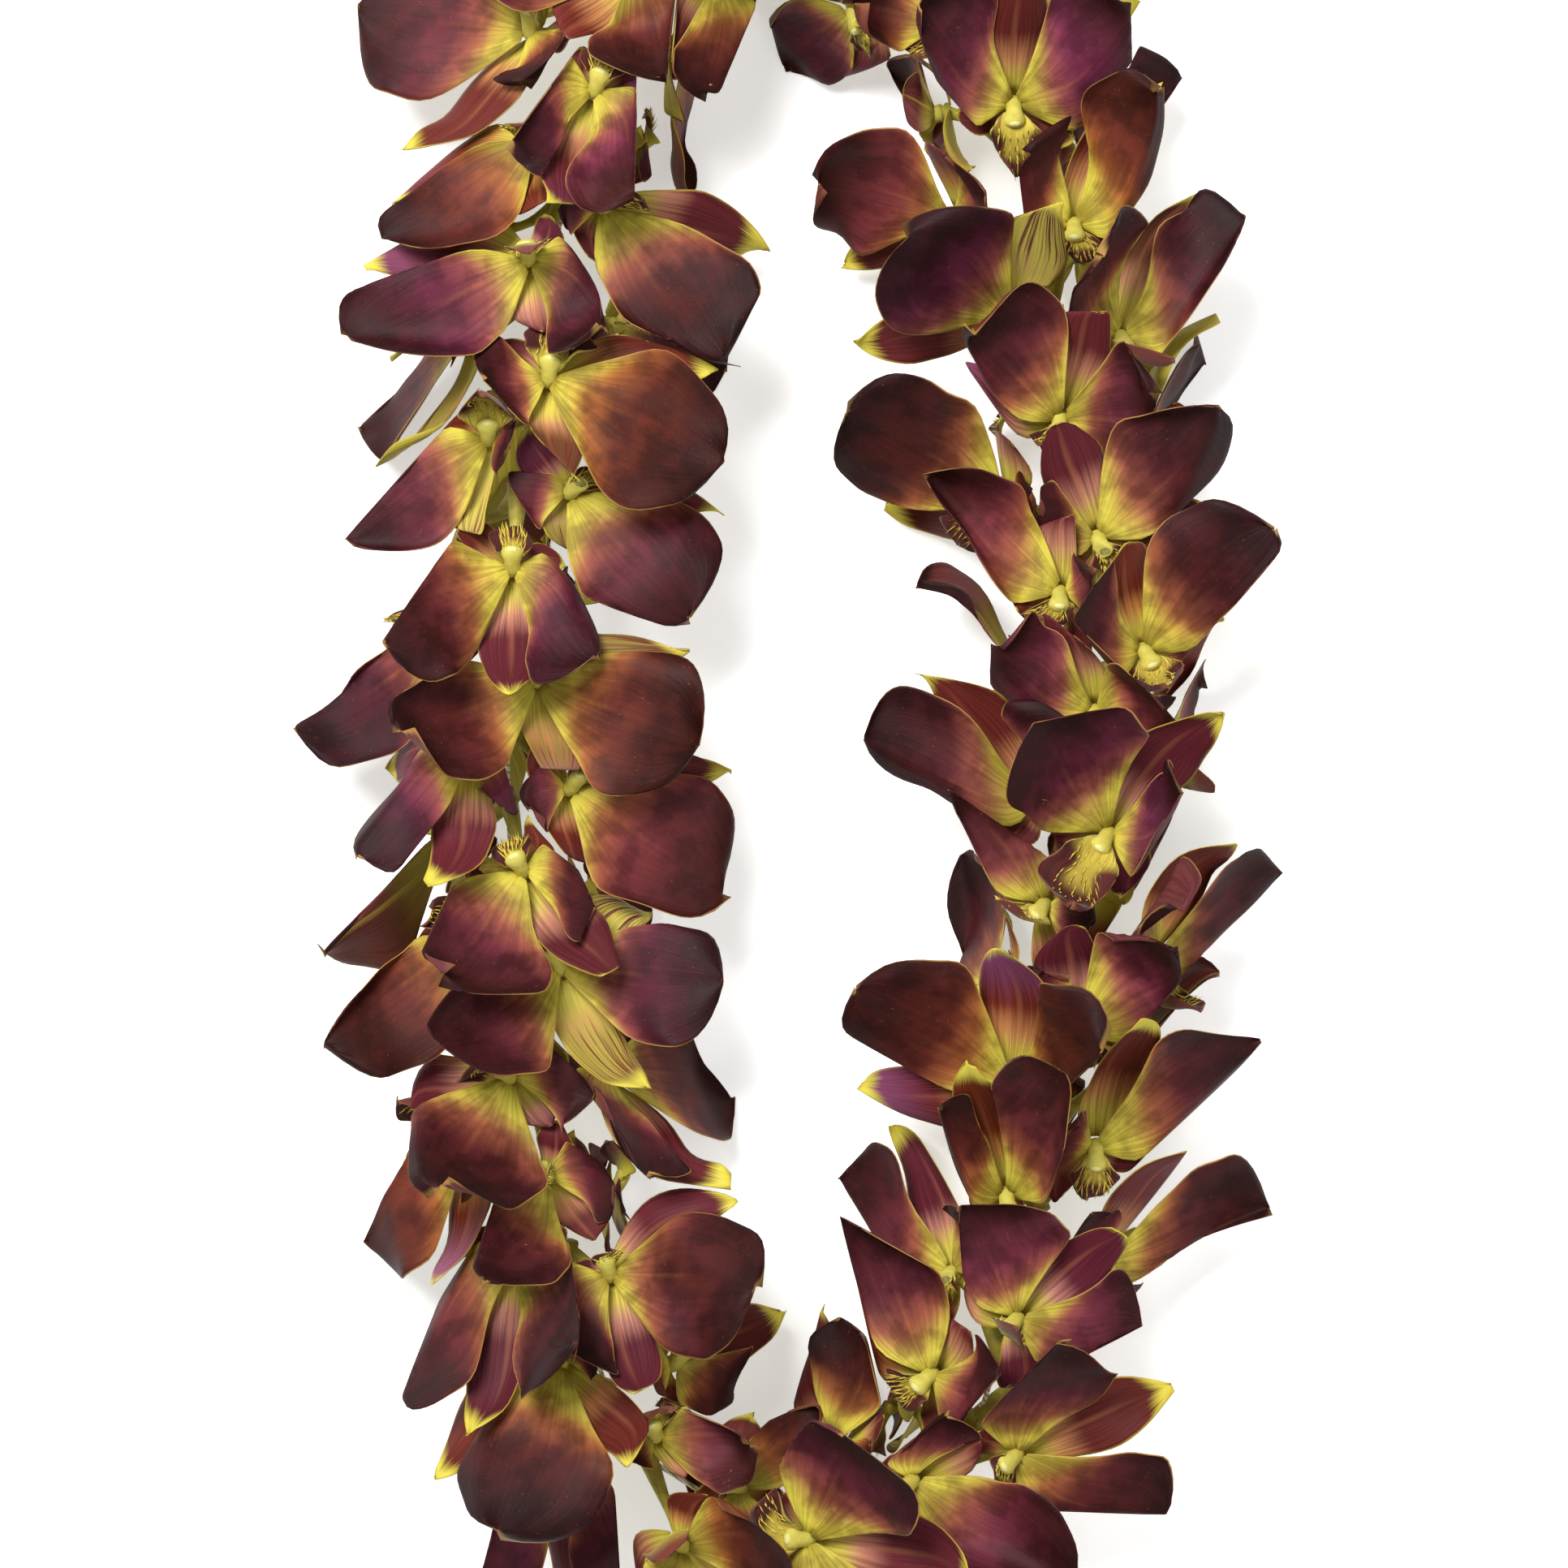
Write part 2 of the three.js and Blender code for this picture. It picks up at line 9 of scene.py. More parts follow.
import bpy
import numpy as np
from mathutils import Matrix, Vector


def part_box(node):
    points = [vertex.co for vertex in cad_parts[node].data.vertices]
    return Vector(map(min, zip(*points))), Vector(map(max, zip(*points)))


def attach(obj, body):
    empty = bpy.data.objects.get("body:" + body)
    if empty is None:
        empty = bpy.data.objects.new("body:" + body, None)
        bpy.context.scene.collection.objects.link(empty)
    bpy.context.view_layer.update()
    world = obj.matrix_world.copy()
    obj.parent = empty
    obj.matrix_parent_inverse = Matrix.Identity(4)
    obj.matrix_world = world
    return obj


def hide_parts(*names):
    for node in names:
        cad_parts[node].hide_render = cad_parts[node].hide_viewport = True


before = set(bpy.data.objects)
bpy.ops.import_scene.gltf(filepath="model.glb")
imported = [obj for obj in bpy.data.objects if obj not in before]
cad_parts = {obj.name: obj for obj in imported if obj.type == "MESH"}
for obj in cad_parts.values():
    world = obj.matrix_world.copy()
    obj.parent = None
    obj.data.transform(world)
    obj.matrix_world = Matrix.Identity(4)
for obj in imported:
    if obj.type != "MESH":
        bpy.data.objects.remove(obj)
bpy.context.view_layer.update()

MM = 0.001
UP = np.array([0.0, 0.0, 1.0])

# Shapes are in millimetres and degrees. A jitter is the most that a draw adds or takes away.

# ---- The loop of thread ----
LOOP_HALF_WIDTH = 70
LOOP_HALF_LENGTH = 192.5
LOOP_END_RADIUS = 50
THREAD_HEIGHT = 27
THREAD_RADIUS = 0.6
THREAD_CLEARANCE = 0.4

# ---- How the blooms are set on the thread ----
# The pulls bring the blooms at the sides and below, and what they face, further up.
BLOOMS = 98
BLOOMS_PER_NODE = 2
SPIRAL_TURNS = 37
THROAT_SIDEWAYS = 17
THROAT_UPWARDS = 12
THROAT_JITTER = 1.5
STALK_BACKSET = 13
FACE_TILT = 8
PLACE_PULL = 27
FACE_PULL = 68
FIRST_ANGLE = 90
ANGLE_JITTER = 20
TILT_JITTER = 18
ROLL_JITTER = 35
SIZE_JITTER = 0.12
PLACE_JITTER = 0.35

# ---- How neighbouring blooms press on each other ----
# A plane leans by the pair's places along the thread, by which of them lies higher (PILE), by a draw of each
# bloom (RANK) and by a draw of the pair (TUCK).
REACH = 84
LEAN = 1.1
LEAN_ROWS = 2.2
SAME_ROW = 0.8
PILE = 0.95
RANK = 0.8
TUCK = 0.4
GAP = 0.25
SOFTENING = 9
OUTWARD_PULL = 0.25
FLOOR_LIFT = 0.5
THREAD_SAMPLES = (-24, -12, 0, 12, 24)
NO_LIMIT = 1e6
PUSHES = 4

# ---- One bloom ----
BLADE_HALF = 0.45
PETAL_HALF = 0.22
RING_RADIUS = 3
RING_NEAR = 1.3
RING_FAR = 2.5
NECK_DEPTH = 6
STALK_START = 1
STALK_RADIUS = 2.3
STALK_END_RADIUS = 2.5
STALK_END = 2.5
COLUMN_RISE = 6.5
COLUMN_BOW = 4.4

# ---- How a tepal grows ----
# Past a wall it turns back. Where it has turned far it grows at the slowest.
STEPS = 16
TURN_JITTER = 6
LIFT_JITTER = 14
CURL_JITTER = 35
TURN_BACK = 0.3
SLOWEST = 0.05
OVERLAP_SLOPE = 55
INNER_SOFTENING = 4

# ---- The surface of a tepal ----
# A tepal has its full width once it has grown to 1 / FULL_GROWTH of its length.
ROW_CROWDING = 1.35
COLUMN_CROWDING = 0.8
FULL_GROWTH = 1.6
NARROWEST = 0.35
TIP_HALF_WIDTH = 0.35
RAGGEDNESS = 0.045
THIN_MARGIN = 3
MARGIN_THICKNESS = 0.45
GROOVE = 0.45
DENTS = 1.1
TWIST = 3
PETAL_CUP, PETAL_ARCH, PETAL_ROLL, PETAL_BEND = 3.6, 0.6, 1.8, 5.5
SEPAL_CUP, SEPAL_HOLLOW, SEPAL_BEND = 1.2, 0.6, 3.5
LIP_LOBES, LIP_RIDGE, LIP_DROOP = 5.5, 0.9, 1.5

# turn: degrees from the bloom's top; lift: degrees towards the viewer; curl: degrees over the whole length;
# cup: how far the sides rise towards the viewer; wave: millimetres that the margin waves; grid: points
# along and across.
PETAL = dict(kind="petal", ring=1, length=42, width=42, lift=6, curl=4, cup=0.06, wave=2.7, grid=(20, 15))
LIP = dict(kind="lip", ring=1, length=23, width=20, lift=52, curl=-70, cup=0.2, wave=1.4, grid=(18, 17))
SEPAL = dict(kind="sepal", ring=-1, width=19, cup=-0.1, wave=1.2, grid=(18, 9))
TEPALS = [
    dict(PETAL, turn=68),
    dict(PETAL, turn=-68),
    dict(LIP, turn=180),
    dict(SEPAL, turn=0, length=42, lift=4, curl=-6),
    dict(SEPAL, turn=118, length=39, lift=8, curl=-12),
    dict(SEPAL, turn=-118, length=39, lift=8, curl=-12),
]
LIP_PLACE = 2

# The number that each trait of a bloom is drawn with. Traits of tepals and hairs add their own number to it.
TRAIT = dict(place=1, angle=2, tilt=3, roll=4, size=5, rank=6, tuck=10, turn=20, lift=30, curl=40,
             margin=50, wave=60, twist=70, cup=80, bend=90, plum=100, rust=120, light=140, yellow=160,
             hair_length=200, hair_lean=300, hair_rise=400)


def draw(i, k):
    """A fixed draw between -1 and 1 for bloom i and trait k: the fraction of a large sine."""
    x = np.sin(12.9898 * i + 78.233 * k + 1) * 43758.5453
    return 2 * (x - np.floor(x)) - 1


def unit(vectors):
    """The vectors divided by their lengths."""
    return vectors / np.maximum(np.linalg.norm(vectors, axis=-1, keepdims=True), 1e-9)


def dot(a, b):
    """The scalar product over the last axis, which is kept."""
    return np.sum(a * b, axis=-1, keepdims=True)


def hump(x, middle, width):
    """A bell of height 1: exp(-((x - middle) / width)^2)."""
    return np.exp(-(((x - middle) / width) ** 2))


# ---- The loop: an oval of four arcs, a tight one at each end and a wide one at each side ----
def oval_arcs():
    """Rows of centre x, centre y, radius, first angle and sweep. The wide arcs touch the tight ones from
    outside, so their radius follows from the half width, the half length and the end radius."""
    rise = LOOP_HALF_LENGTH - LOOP_END_RADIUS
    narrowing = LOOP_HALF_WIDTH - LOOP_END_RADIUS
    side_radius = (rise**2 + LOOP_HALF_WIDTH**2 - LOOP_END_RADIUS**2) / (2 * narrowing)
    side_angle = math.asin(rise / (side_radius - LOOP_END_RADIUS))
    end_angle = math.pi - 2 * side_angle
    side_centre = LOOP_HALF_WIDTH - side_radius
    return np.array([
        (side_centre, 0, side_radius, 0, side_angle),
        (0, rise, LOOP_END_RADIUS, side_angle, end_angle),
        (-side_centre, 0, side_radius, math.pi - side_angle, 2 * side_angle),
        (0, -rise, LOOP_END_RADIUS, math.pi + side_angle, end_angle),
        (side_centre, 0, side_radius, -side_angle, side_angle),
    ])


ARCS = oval_arcs()
SPANS = ARCS[:, 2] * ARCS[:, 4]
LOOP_LENGTH = SPANS.sum()
PITCH = LOOP_LENGTH / BLOOMS
ROW_PITCH = LOOP_LENGTH / SPIRAL_TURNS


def loop_at(distance):
    """The thread's point, the sideways direction away from the loop's middle and the direction along the
    thread, at a distance along it: centre + radius * (cos, sin) of the arc that the distance falls in."""
    left = np.mod(distance, LOOP_LENGTH)
    ends = np.cumsum(SPANS)
    arc = np.minimum(np.searchsorted(ends, left), len(ARCS) - 1)
    centre_x, centre_y, radius, first, _ = np.moveaxis(ARCS[arc], -1, 0)
    angle = first + (left - (ends - SPANS)[arc]) / radius
    side = np.stack([np.cos(angle), np.sin(angle), 0 * angle], -1)
    centre = np.stack([centre_x, centre_y, 0 * angle + THREAD_HEIGHT], -1)
    along = np.stack([-side[..., 1], side[..., 0], 0 * angle], -1)
    return centre + radius[..., None] * side, side, along


# ---- Where each bloom sits and how it faces ----
class Blooms:
    """All blooms as arrays with one row each. They wind round the thread, and those at the sides and below
    are turned somewhat upwards: angle = first angle + even step - pull * sin(even step)."""

    def __init__(self):
        i = self.i = np.arange(BLOOMS)
        self.distance = (i + PLACE_JITTER * draw(i, TRAIT["place"])) * PITCH
        point, side, along = loop_at(self.distance)
        even = np.radians(i * 360 * SPIRAL_TURNS / BLOOMS + ANGLE_JITTER * draw(i, TRAIT["angle"]))
        place = math.radians(FIRST_ANGLE) + even - math.radians(PLACE_PULL) * np.sin(even)
        turned = math.radians(FIRST_ANGLE) + even - math.radians(FACE_PULL) * np.sin(even)
        rank = draw(i, TRAIT["rank"])

        def around(angle, across, up):
            return side * (across * np.cos(angle))[:, None] + UP * (up * np.sin(angle))[:, None]

        facing = around(turned, 1, 1)
        tilt = np.radians(FACE_TILT + TILT_JITTER * draw(i, TRAIT["tilt"]))[:, None]
        roll = np.radians(ROLL_JITTER * draw(i, TRAIT["roll"]))[:, None]
        self.face = facing * np.cos(tilt) - along * np.sin(tilt)
        top = along * np.cos(tilt) + facing * np.sin(tilt)
        self.top = top * np.cos(roll) + np.cross(self.face, top) * np.sin(roll)
        self.across = np.cross(self.top, self.face)
        self.outward = around(place, 1, 1)
        jitter = THROAT_JITTER * rank
        self.throat = point + around(place, THROAT_SIDEWAYS + jitter, THROAT_UPWARDS + jitter)
        self.scale = 1 + SIZE_JITTER * draw(i, TRAIT["size"])
        self.level = PILE * np.sin(place) + RANK * rank
        pair = i // BLOOMS_PER_NODE
        middles = self.distance.reshape(-1, BLOOMS_PER_NODE).mean(1)
        self.base = loop_at(middles[pair] - STALK_BACKSET)[0]

    def spread(self, turn):
        """A direction in the plane of each bloom, counted in degrees from its top."""
        angle = np.radians(turn)
        return self.top * np.cos(angle) + self.across * np.sin(angle)


blooms = Blooms()


def neighbour_walls():
    """Planes between each bloom a and each bloom b, as normals that point at b and limits along them. A
    bloom lies over those further along the thread: normal = way to b - over * outwards."""
    ahead = blooms.distance[None, :] - blooms.distance[:, None]
    ahead = (np.mod(ahead + 1.5 * LOOP_LENGTH, LOOP_LENGTH) - LOOP_LENGTH / 2) / ROW_PITCH
    a, b = np.meshgrid(blooms.i, blooms.i, indexing="ij")
    tuck = draw(np.minimum(a, b), TRAIT["tuck"] + np.maximum(a, b)) * TUCK * np.sign(b - a)
    nearness = np.clip(LEAN_ROWS - np.abs(ahead), 0, 1)
    pile = blooms.level[:, None] - blooms.level[None, :]
    over = LEAN * np.clip(ahead, -1, 1) * nearness + np.where(np.abs(ahead) < SAME_ROW, tuck + pile, 0)
    between = blooms.throat[None, :] - blooms.throat[:, None]
    way = unit(between)
    outward = blooms.outward[:, None] + blooms.outward[None, :]
    outward = outward - way * dot(outward, way)
    outward = unit(outward) * np.minimum(1, np.linalg.norm(outward, axis=-1, keepdims=True))
    normal = unit(way - outward * over[..., None])
    middle = (blooms.throat[None, :] + blooms.throat[:, None]) / 2
    limit = dot(normal, middle)[..., 0] - GAP - PETAL_HALF
    near = (np.linalg.norm(between, axis=-1) < REACH) & (a != b)
    return normal, limit, near


class Walls:
    """Half spaces that a bloom keeps inside of: normals (bloom, wall, 3), limits along them, how far off
    they begin to turn a petal, and how much they turn it outwards."""

    def __init__(self, normal, limit, soft, pull):
        self.normal, self.limit = normal, limit
        self.soft = np.broadcast_to(soft, limit.shape)
        self.pull = np.broadcast_to(pull, limit.shape)

    def __add__(self, other):
        return Walls(*(np.concatenate([getattr(self, key), getattr(other, key)], 1)
                       for key in ("normal", "limit", "soft", "pull")))


def outer_walls():
    """The floor, the thread and the planes to the neighbours, with empty walls where a bloom has fewer of
    them."""
    normal, limit, near = neighbour_walls()
    most = near.sum(1).max()
    order = np.argsort(~near, axis=1, kind="stable")[:, :most]
    used = np.take_along_axis(near, order, 1)
    normals = np.where(used[..., None], np.take_along_axis(normal, order[..., None], 1), 0)
    limits = np.where(used, np.take_along_axis(limit, order, 1), NO_LIMIT)
    heights = [dot(loop_at(blooms.distance + step)[0], blooms.outward)[:, 0] for step in THREAD_SAMPLES]
    thread_top = np.max(heights, axis=0) + THREAD_RADIUS + THREAD_CLEARANCE + BLADE_HALF + GAP
    floor = np.broadcast_to(-UP, (BLOOMS, 1, 3))
    normals = np.concatenate([floor, -blooms.outward[:, None], normals], 1)
    limits = np.concatenate([np.full((BLOOMS, 1), -FLOOR_LIFT), -thread_top[:, None], limits], 1)
    return Walls(normals, limits, SOFTENING, OUTWARD_PULL)


OUTER = outer_walls()


# ---- Where tepals grow from ----
def root_corners(tepal):
    """The corners of the three-sided ring beside a tepal's root, at its front and back: throat + radius *
    spread + height * face. Petals and lip grow from the front ring, sepals from the rear ring, which is
    turned by 60 degrees from it."""
    if tepal["ring"] > 0:
        middle = 120 * round((tepal["turn"] + 60) / 120) - 60
    else:
        middle = 120 * round(tepal["turn"] / 120)
    heights = [tepal["ring"] * RING_NEAR, tepal["ring"] * RING_FAR]
    return np.stack([blooms.throat + RING_RADIUS * blooms.spread(middle + side) + height * blooms.face
                     for side in (-60, 60) for height in heights], 1)


def stalk_path():
    """The stalk's neck behind the throat, its direction from there and its end just past the thread."""
    neck = blooms.throat - NECK_DEPTH * blooms.face
    way = unit(blooms.base - neck)
    return neck, way, blooms.base + STALK_END * way


def bent_ring(centre, normal, radius):
    """Three corners round a centre: the rear ring's directions x, turned the short way from the bloom's
    back to the normal: x cos + w cross x + w (w . x) / (1 + cos), where w = back cross normal."""
    back = -blooms.face
    cosine, axis = dot(back, normal), np.cross(back, normal)
    corners = []
    for turn in (60, 180, 300):
        spread = blooms.spread(turn)
        bent = spread * cosine + np.cross(axis, spread) + axis * dot(axis, spread) / (1 + cosine)
        corners.append(centre + radius * bent)
    return corners


def stalk_wall(tepal):
    """The plane in front of the stalk, for the sepals that point the same way as the stalk."""
    neck, way, end = stalk_path()
    corners = bent_ring(neck, unit(way - blooms.face), STALK_RADIUS) + bent_ring(end, way, STALK_END_RADIUS)
    normal = unit(way * dot(way, blooms.face) - blooms.face)
    nearest = np.min([dot(normal, corner) for corner in corners], axis=0)
    meets = dot(way, blooms.spread(tepal["turn"])) > 0
    limit = np.where(meets, nearest - PETAL_HALF - GAP, NO_LIMIT)
    return Walls(normal[:, None], limit, INNER_SOFTENING, 0)


def inner_walls(tepal):
    """Planes between one tepal and the five others of its bloom, halfway between their roots. They lean so
    that a tepal of the front ring may lie over one of the rear ring."""
    normals, limits = [], []
    for other in TEPALS:
        if other is tepal:
            continue
        apart = (other["turn"] - tepal["turn"] + 540) % 360 - 180
        slope = 0 if tepal["ring"] == other["ring"] else math.radians(OVERLAP_SLOPE)
        normal = blooms.spread(tepal["turn"] + apart / 2 + 90 * np.sign(apart)) * math.cos(slope)
        normal = normal + blooms.face * math.sin(slope) * other["ring"]
        mine = np.max(dot(root_corners(tepal), normal[:, None])[..., 0], 1)
        theirs = np.min(dot(root_corners(other), normal[:, None])[..., 0], 1)
        normals.append(normal)
        limits.append((mine + theirs) / 2 - PETAL_HALF - GAP / 2)
    walls = Walls(np.stack(normals, 1), np.stack(limits, 1), INNER_SOFTENING, 0)
    if tepal["ring"] < 0:
        walls = walls + stalk_wall(tepal)
    return walls


# ---- How a tepal grows ----
def grow_midrib(tepal, k, walls):
    """The midribs of tepal k of all blooms, step by step from the ring: each curls by itself, turns along
    every wall that it comes near, and stays short where it has to turn by more than about 40 degrees. A row
    holds the length so far, the point, the direction across and the direction in front."""
    i = blooms.i
    turn = (tepal["turn"] + TURN_JITTER * draw(i, TRAIT["turn"] + k))[:, None]
    lift = np.radians(tepal["lift"] + LIFT_JITTER * draw(i, TRAIT["lift"] + k))[:, None]
    curl = np.radians(tepal["curl"] + CURL_JITTER * draw(i, TRAIT["curl"] + k))[:, None] / STEPS
    step = (tepal["length"] * blooms.scale / STEPS)[:, None]
    spread = blooms.spread(turn)
    ahead = spread * np.cos(lift) + blooms.face * np.sin(lift)
    front = blooms.face * np.cos(lift) - spread * np.sin(lift)
    start = ahead
    sideways = np.cross(ahead, front)
    height = tepal["ring"] * (RING_NEAR + RING_FAR) / 2
    point = blooms.throat + spread * RING_RADIUS / 2 + blooms.face * height
    length = np.zeros((BLOOMS, 1))
    rows = []
    for _ in range(STEPS + 1):
        across = unit(np.cross(ahead, front) + sideways)
        rows.append(np.concatenate([length, point, across, front], 1))
        ahead = ahead * np.cos(curl) + front * np.sin(curl)
        for w in range(walls.limit.shape[1]):
            normal = walls.normal[:, w]
            room = walls.limit[:, w, None] - dot(normal, point)
            allowed = np.clip(room / walls.soft[:, w, None], -TURN_BACK, 1)
            excess = np.maximum(dot(normal, ahead) - allowed, 0)
            ahead = ahead + excess * (blooms.outward * walls.pull[:, w, None] - normal)
        ahead = unit(ahead)
        front = unit(front - ahead * dot(front, ahead))
        progress = step * np.clip(2 * dot(ahead, start) - 0.5, SLOWEST, 1)
        point = point + ahead * progress
        length = length + progress
    return np.stack(rows, 1)


def along_rib(ribs, shares):
    """Points, across and front directions at the given shares of each rib's length, blended between its
    steps."""
    values = ribs.shape[-1] - 1
    found = np.empty((BLOOMS, len(shares), values))
    for b, rib in enumerate(ribs):
        lengths = rib[:, 0]
        for c in range(values):
            found[b, :, c] = np.interp(shares * lengths[-1], lengths, rib[:, 1 + c])
    return found[..., :3], unit(found[..., 3:6]), unit(found[..., 6:])


def keep_inside(points, walls, safe):
    """Points (bloom, row, column, 3) moved back to the bloom's own side of every wall, and at last towards
    the safe point by the share that is still missing."""
    for _ in range(PUSHES):
        for w in range(walls.limit.shape[1]):
            normal = walls.normal[:, w, None, None]
            excess = np.maximum(dot(points, normal) - walls.limit[:, w, None, None, None], 0)
            points = points - normal * excess
    way = points - safe
    share = np.ones(points.shape[:-1] + (1,))
    for w in range(walls.limit.shape[1]):
        normal = walls.normal[:, w, None, None]
        rise = dot(way, normal)
        room = np.maximum(0, walls.limit[:, w, None, None, None] - dot(safe, normal))
        share = np.where(rise > 1e-6, np.minimum(share, room / np.maximum(rise, 1e-6)), share)
    return safe + way * share


def relaxed(points, rounds):
    """Each inner point moved halfway to the mean of its four neighbours, and each point of the two long
    margins halfway to the mean of its two neighbours there, so that creases become folds. The end rows
    stay."""
    for _ in range(rounds):
        new = points.copy()
        across = points[:, :, :-2] + points[:, :, 2:]
        along = points[:, :-2] + points[:, 2:]
        new[:, 1:-1, 1:-1] = points[:, 1:-1, 1:-1] / 2 + (across[:, 1:-1] + along[:, :, 1:-1]) / 8
        new[:, 1:-1, [0, -1]] = points[:, 1:-1, [0, -1]] / 2 + along[:, :, [0, -1]] / 4
        points = new
    return points


# ---- Outlines: the half width at a share v of the length, as a share of the half width at the widest ----
def petal_outline(v):
    """A claw that widens in a straight line, then a round end: min(1, 0.12 + 1.9 v) * sqrt(1 - w^2.4),
    where w goes from 0 to 1 over the last 45% of the length."""
    end = np.clip((v - 0.55) / 0.45, 0, 1)
    return np.minimum(1, 0.12 + 1.9 * v) * np.sqrt(1 - end**2.4)


def sepal_outline(v):
    """A lance: min(1, 0.35 + 1.5 v) * (1 - w^2.2)^0.8, where w goes from 0 to 1 over the last 70%."""
    end = np.clip((v - 0.3) / 0.7, 0, 1)
    return np.minimum(1, 0.35 + 1.5 * v) * (1 - end**2.2) ** 0.8


def lip_outline(v):
    """Side lobes, a waist at 40% and a broad middle lobe with a round end: min(1, 0.55 + 1.4 v) * (1 - 0.32
    hump) * sqrt(1 - w^2.6), where w goes from 0 to 1 over the last 38%."""
    end = np.clip((v - 0.62) / 0.38, 0, 1)
    waist = 1 - 0.32 * hump(v, 0.4, 0.09)
    return np.minimum(1, 0.55 + 1.4 * v) * waist * np.sqrt(1 - end**2.6)


OUTLINES = {"petal": petal_outline, "sepal": sepal_outline, "lip": lip_outline}


class Sheet:
    """The middle surface of tepal k of all blooms: rib + across * s * reach + front * lift, for the share v
    along the tepal and the share s across it, from -1 to 1. Rows crowd towards the tip and columns towards
    the margins. It keeps the facts that its finish needs: v, s and the millimetres from the margin."""

    def __init__(self, k):
        tepal = TEPALS[k]
        self.finish = tepal["kind"]
        walls = OUTER + inner_walls(tepal)
        ribs = grow_midrib(tepal, k, walls)
        rows, columns = tepal["grid"]
        v = 1 - (1 - np.linspace(0, 1, rows)) ** ROW_CROWDING
        fan = np.linspace(-np.pi / 2, np.pi / 2, columns) * COLUMN_CROWDING
        s = np.sin(fan) / np.sin(fan[-1])
        achieved = ribs[:, -1, 0]
        size = np.clip(FULL_GROWTH * achieved / (tepal["length"] * blooms.scale), NARROWEST, 1)
        half = (tepal["width"] / 2 * blooms.scale * size)[:, None, None, None]
        point, across, front = (part[:, :, None] for part in along_rib(ribs, v))
        reach = np.maximum(OUTLINES[tepal["kind"]](v)[None, :, None, None] * half, TIP_HALF_WIDTH)
        side = s[None, None, :, None]
        rise = self.relief(tepal, k, v[None, :, None], s[None, None, :])[..., None]
        lift = tepal["cup"] * (side * reach) ** 2 / half + rise * size[:, None, None, None]
        ragged = 1 + RAGGEDNESS * self.ripple(k, v)[:, :, None, None]
        points = point + across * side * reach * ragged + front * lift
        self.points = relaxed(keep_inside(points, walls, ribs[:, 0, None, None, 1:4]), 2)
        self.v = np.broadcast_to(v[:, None], (rows, columns))
        self.s = np.broadcast_to(s[None, :], (rows, columns))
        sides = (1 - np.abs(self.s)) * reach[..., 0]
        self.edge = np.minimum(sides, (1 - self.v) * achieved[:, None, None])

    @staticmethod
    def ripple(k, v):
        """An uneven margin: sin(9 v + phase) + 0.6 sin(23 v + 2 phase), with a phase of each bloom's
        own."""
        phase = 3 * draw(blooms.i, TRAIT["margin"] + k)[:, None]
        return np.sin(9 * v + phase) + 0.6 * np.sin(23 * v + 2 * phase)

    @staticmethod
    def relief(tepal, k, v, s):
        """Millimetres towards the viewer. All tepals have a margin that waves by sin(7.5 v) and sin(17 v),
        a groove along the midrib, a twist s v and dents. Petals and sepals are cupped or arched by s^2 v
        and have a bent tip, v^4, and a petal's margin rolls back by s^5 v. A lip has two raised side lobes,
        a ridge in the middle and drooping sides at its end."""
        phase = (3.1 * draw(blooms.i, TRAIT["wave"] + k))[:, None, None]
        twist, cup, bend = (draw(blooms.i, TRAIT[name] + k)[:, None, None]
                            for name in ("twist", "cup", "bend"))
        margin = np.abs(s) ** 2 * np.minimum(1, 2 * v)
        waves = np.sin(7.5 * v + phase + 1.4 * np.sign(s)) + 0.35 * np.sin(17 * v - phase)
        groove = -GROOVE * hump(s, 0, 0.1) * (1 - 0.7 * v)
        dents = DENTS * np.sin(8 * v + 4 * s + phase) * np.sin(5 * s - 3 * v - 2 * phase) * v
        rise = tepal["wave"] * margin * waves + groove + TWIST * twist * s * v + dents
        if tepal["kind"] == "petal":
            rise = rise + (PETAL_CUP * cup - PETAL_ARCH) * s**2 * v
            rise = rise - PETAL_ROLL * np.abs(s) ** 5 * v + PETAL_BEND * bend * v**4
        if tepal["kind"] == "sepal":
            rise = rise + (SEPAL_CUP * cup + SEPAL_HOLLOW) * s**2 * v + SEPAL_BEND * bend * v**4
        if tepal["kind"] == "lip":
            lobes = LIP_LOBES * np.abs(s) ** 1.6 * hump(v, 0.2, 0.2)
            ridge = LIP_RIDGE * hump(s, 0, 0.2) * hump(v, 0.4, 0.2)
            rise = rise + lobes + ridge - LIP_DROOP * np.abs(s) ** 3 * np.clip((v - 0.5) * 2, 0, 1)
        return rise


# ---- From surfaces to closed shells ----
FACTS = ("along", "across", "edge", "front")
INLAND = 5.0


class Shell:
    """A closed mesh repeated for all blooms: points (bloom, point, 3), blocks of faces of one bloom, each
    with the same number of corners, and for each point the share along, the share across, the millimetres
    from the margin, and 1 in front or 0 at the back."""

    def __init__(self, finish, points, blocks, along, across, edge=INLAND, front=1.0):
        self.finish, self.points, self.blocks = finish, points, blocks
        self.facts = {name: np.broadcast_to(value, points.shape[:2]).astype(np.float32)
                      for name, value in zip(FACTS, (along, across, edge, front))}

    def pressed(self):
        """The shell moved to its bloom's own side of the outer walls."""
        safe = blooms.throat[:, None, None]
        self.points = keep_inside(self.points[:, :, None], OUTER, safe)[:, :, 0]
        return self


def grid_faces(rows, columns, wrap=False):
    """Quads of a grid, counter-clockwise as seen with columns to the right and rows upwards."""
    index = np.arange(rows * columns).reshape(rows, columns)
    if wrap:
        index = np.concatenate([index, index[:, :1]], 1)
    return np.stack([index[:-1, :-1], index[:-1, 1:], index[1:, 1:], index[1:, :-1]], -1).reshape(-1, 4)


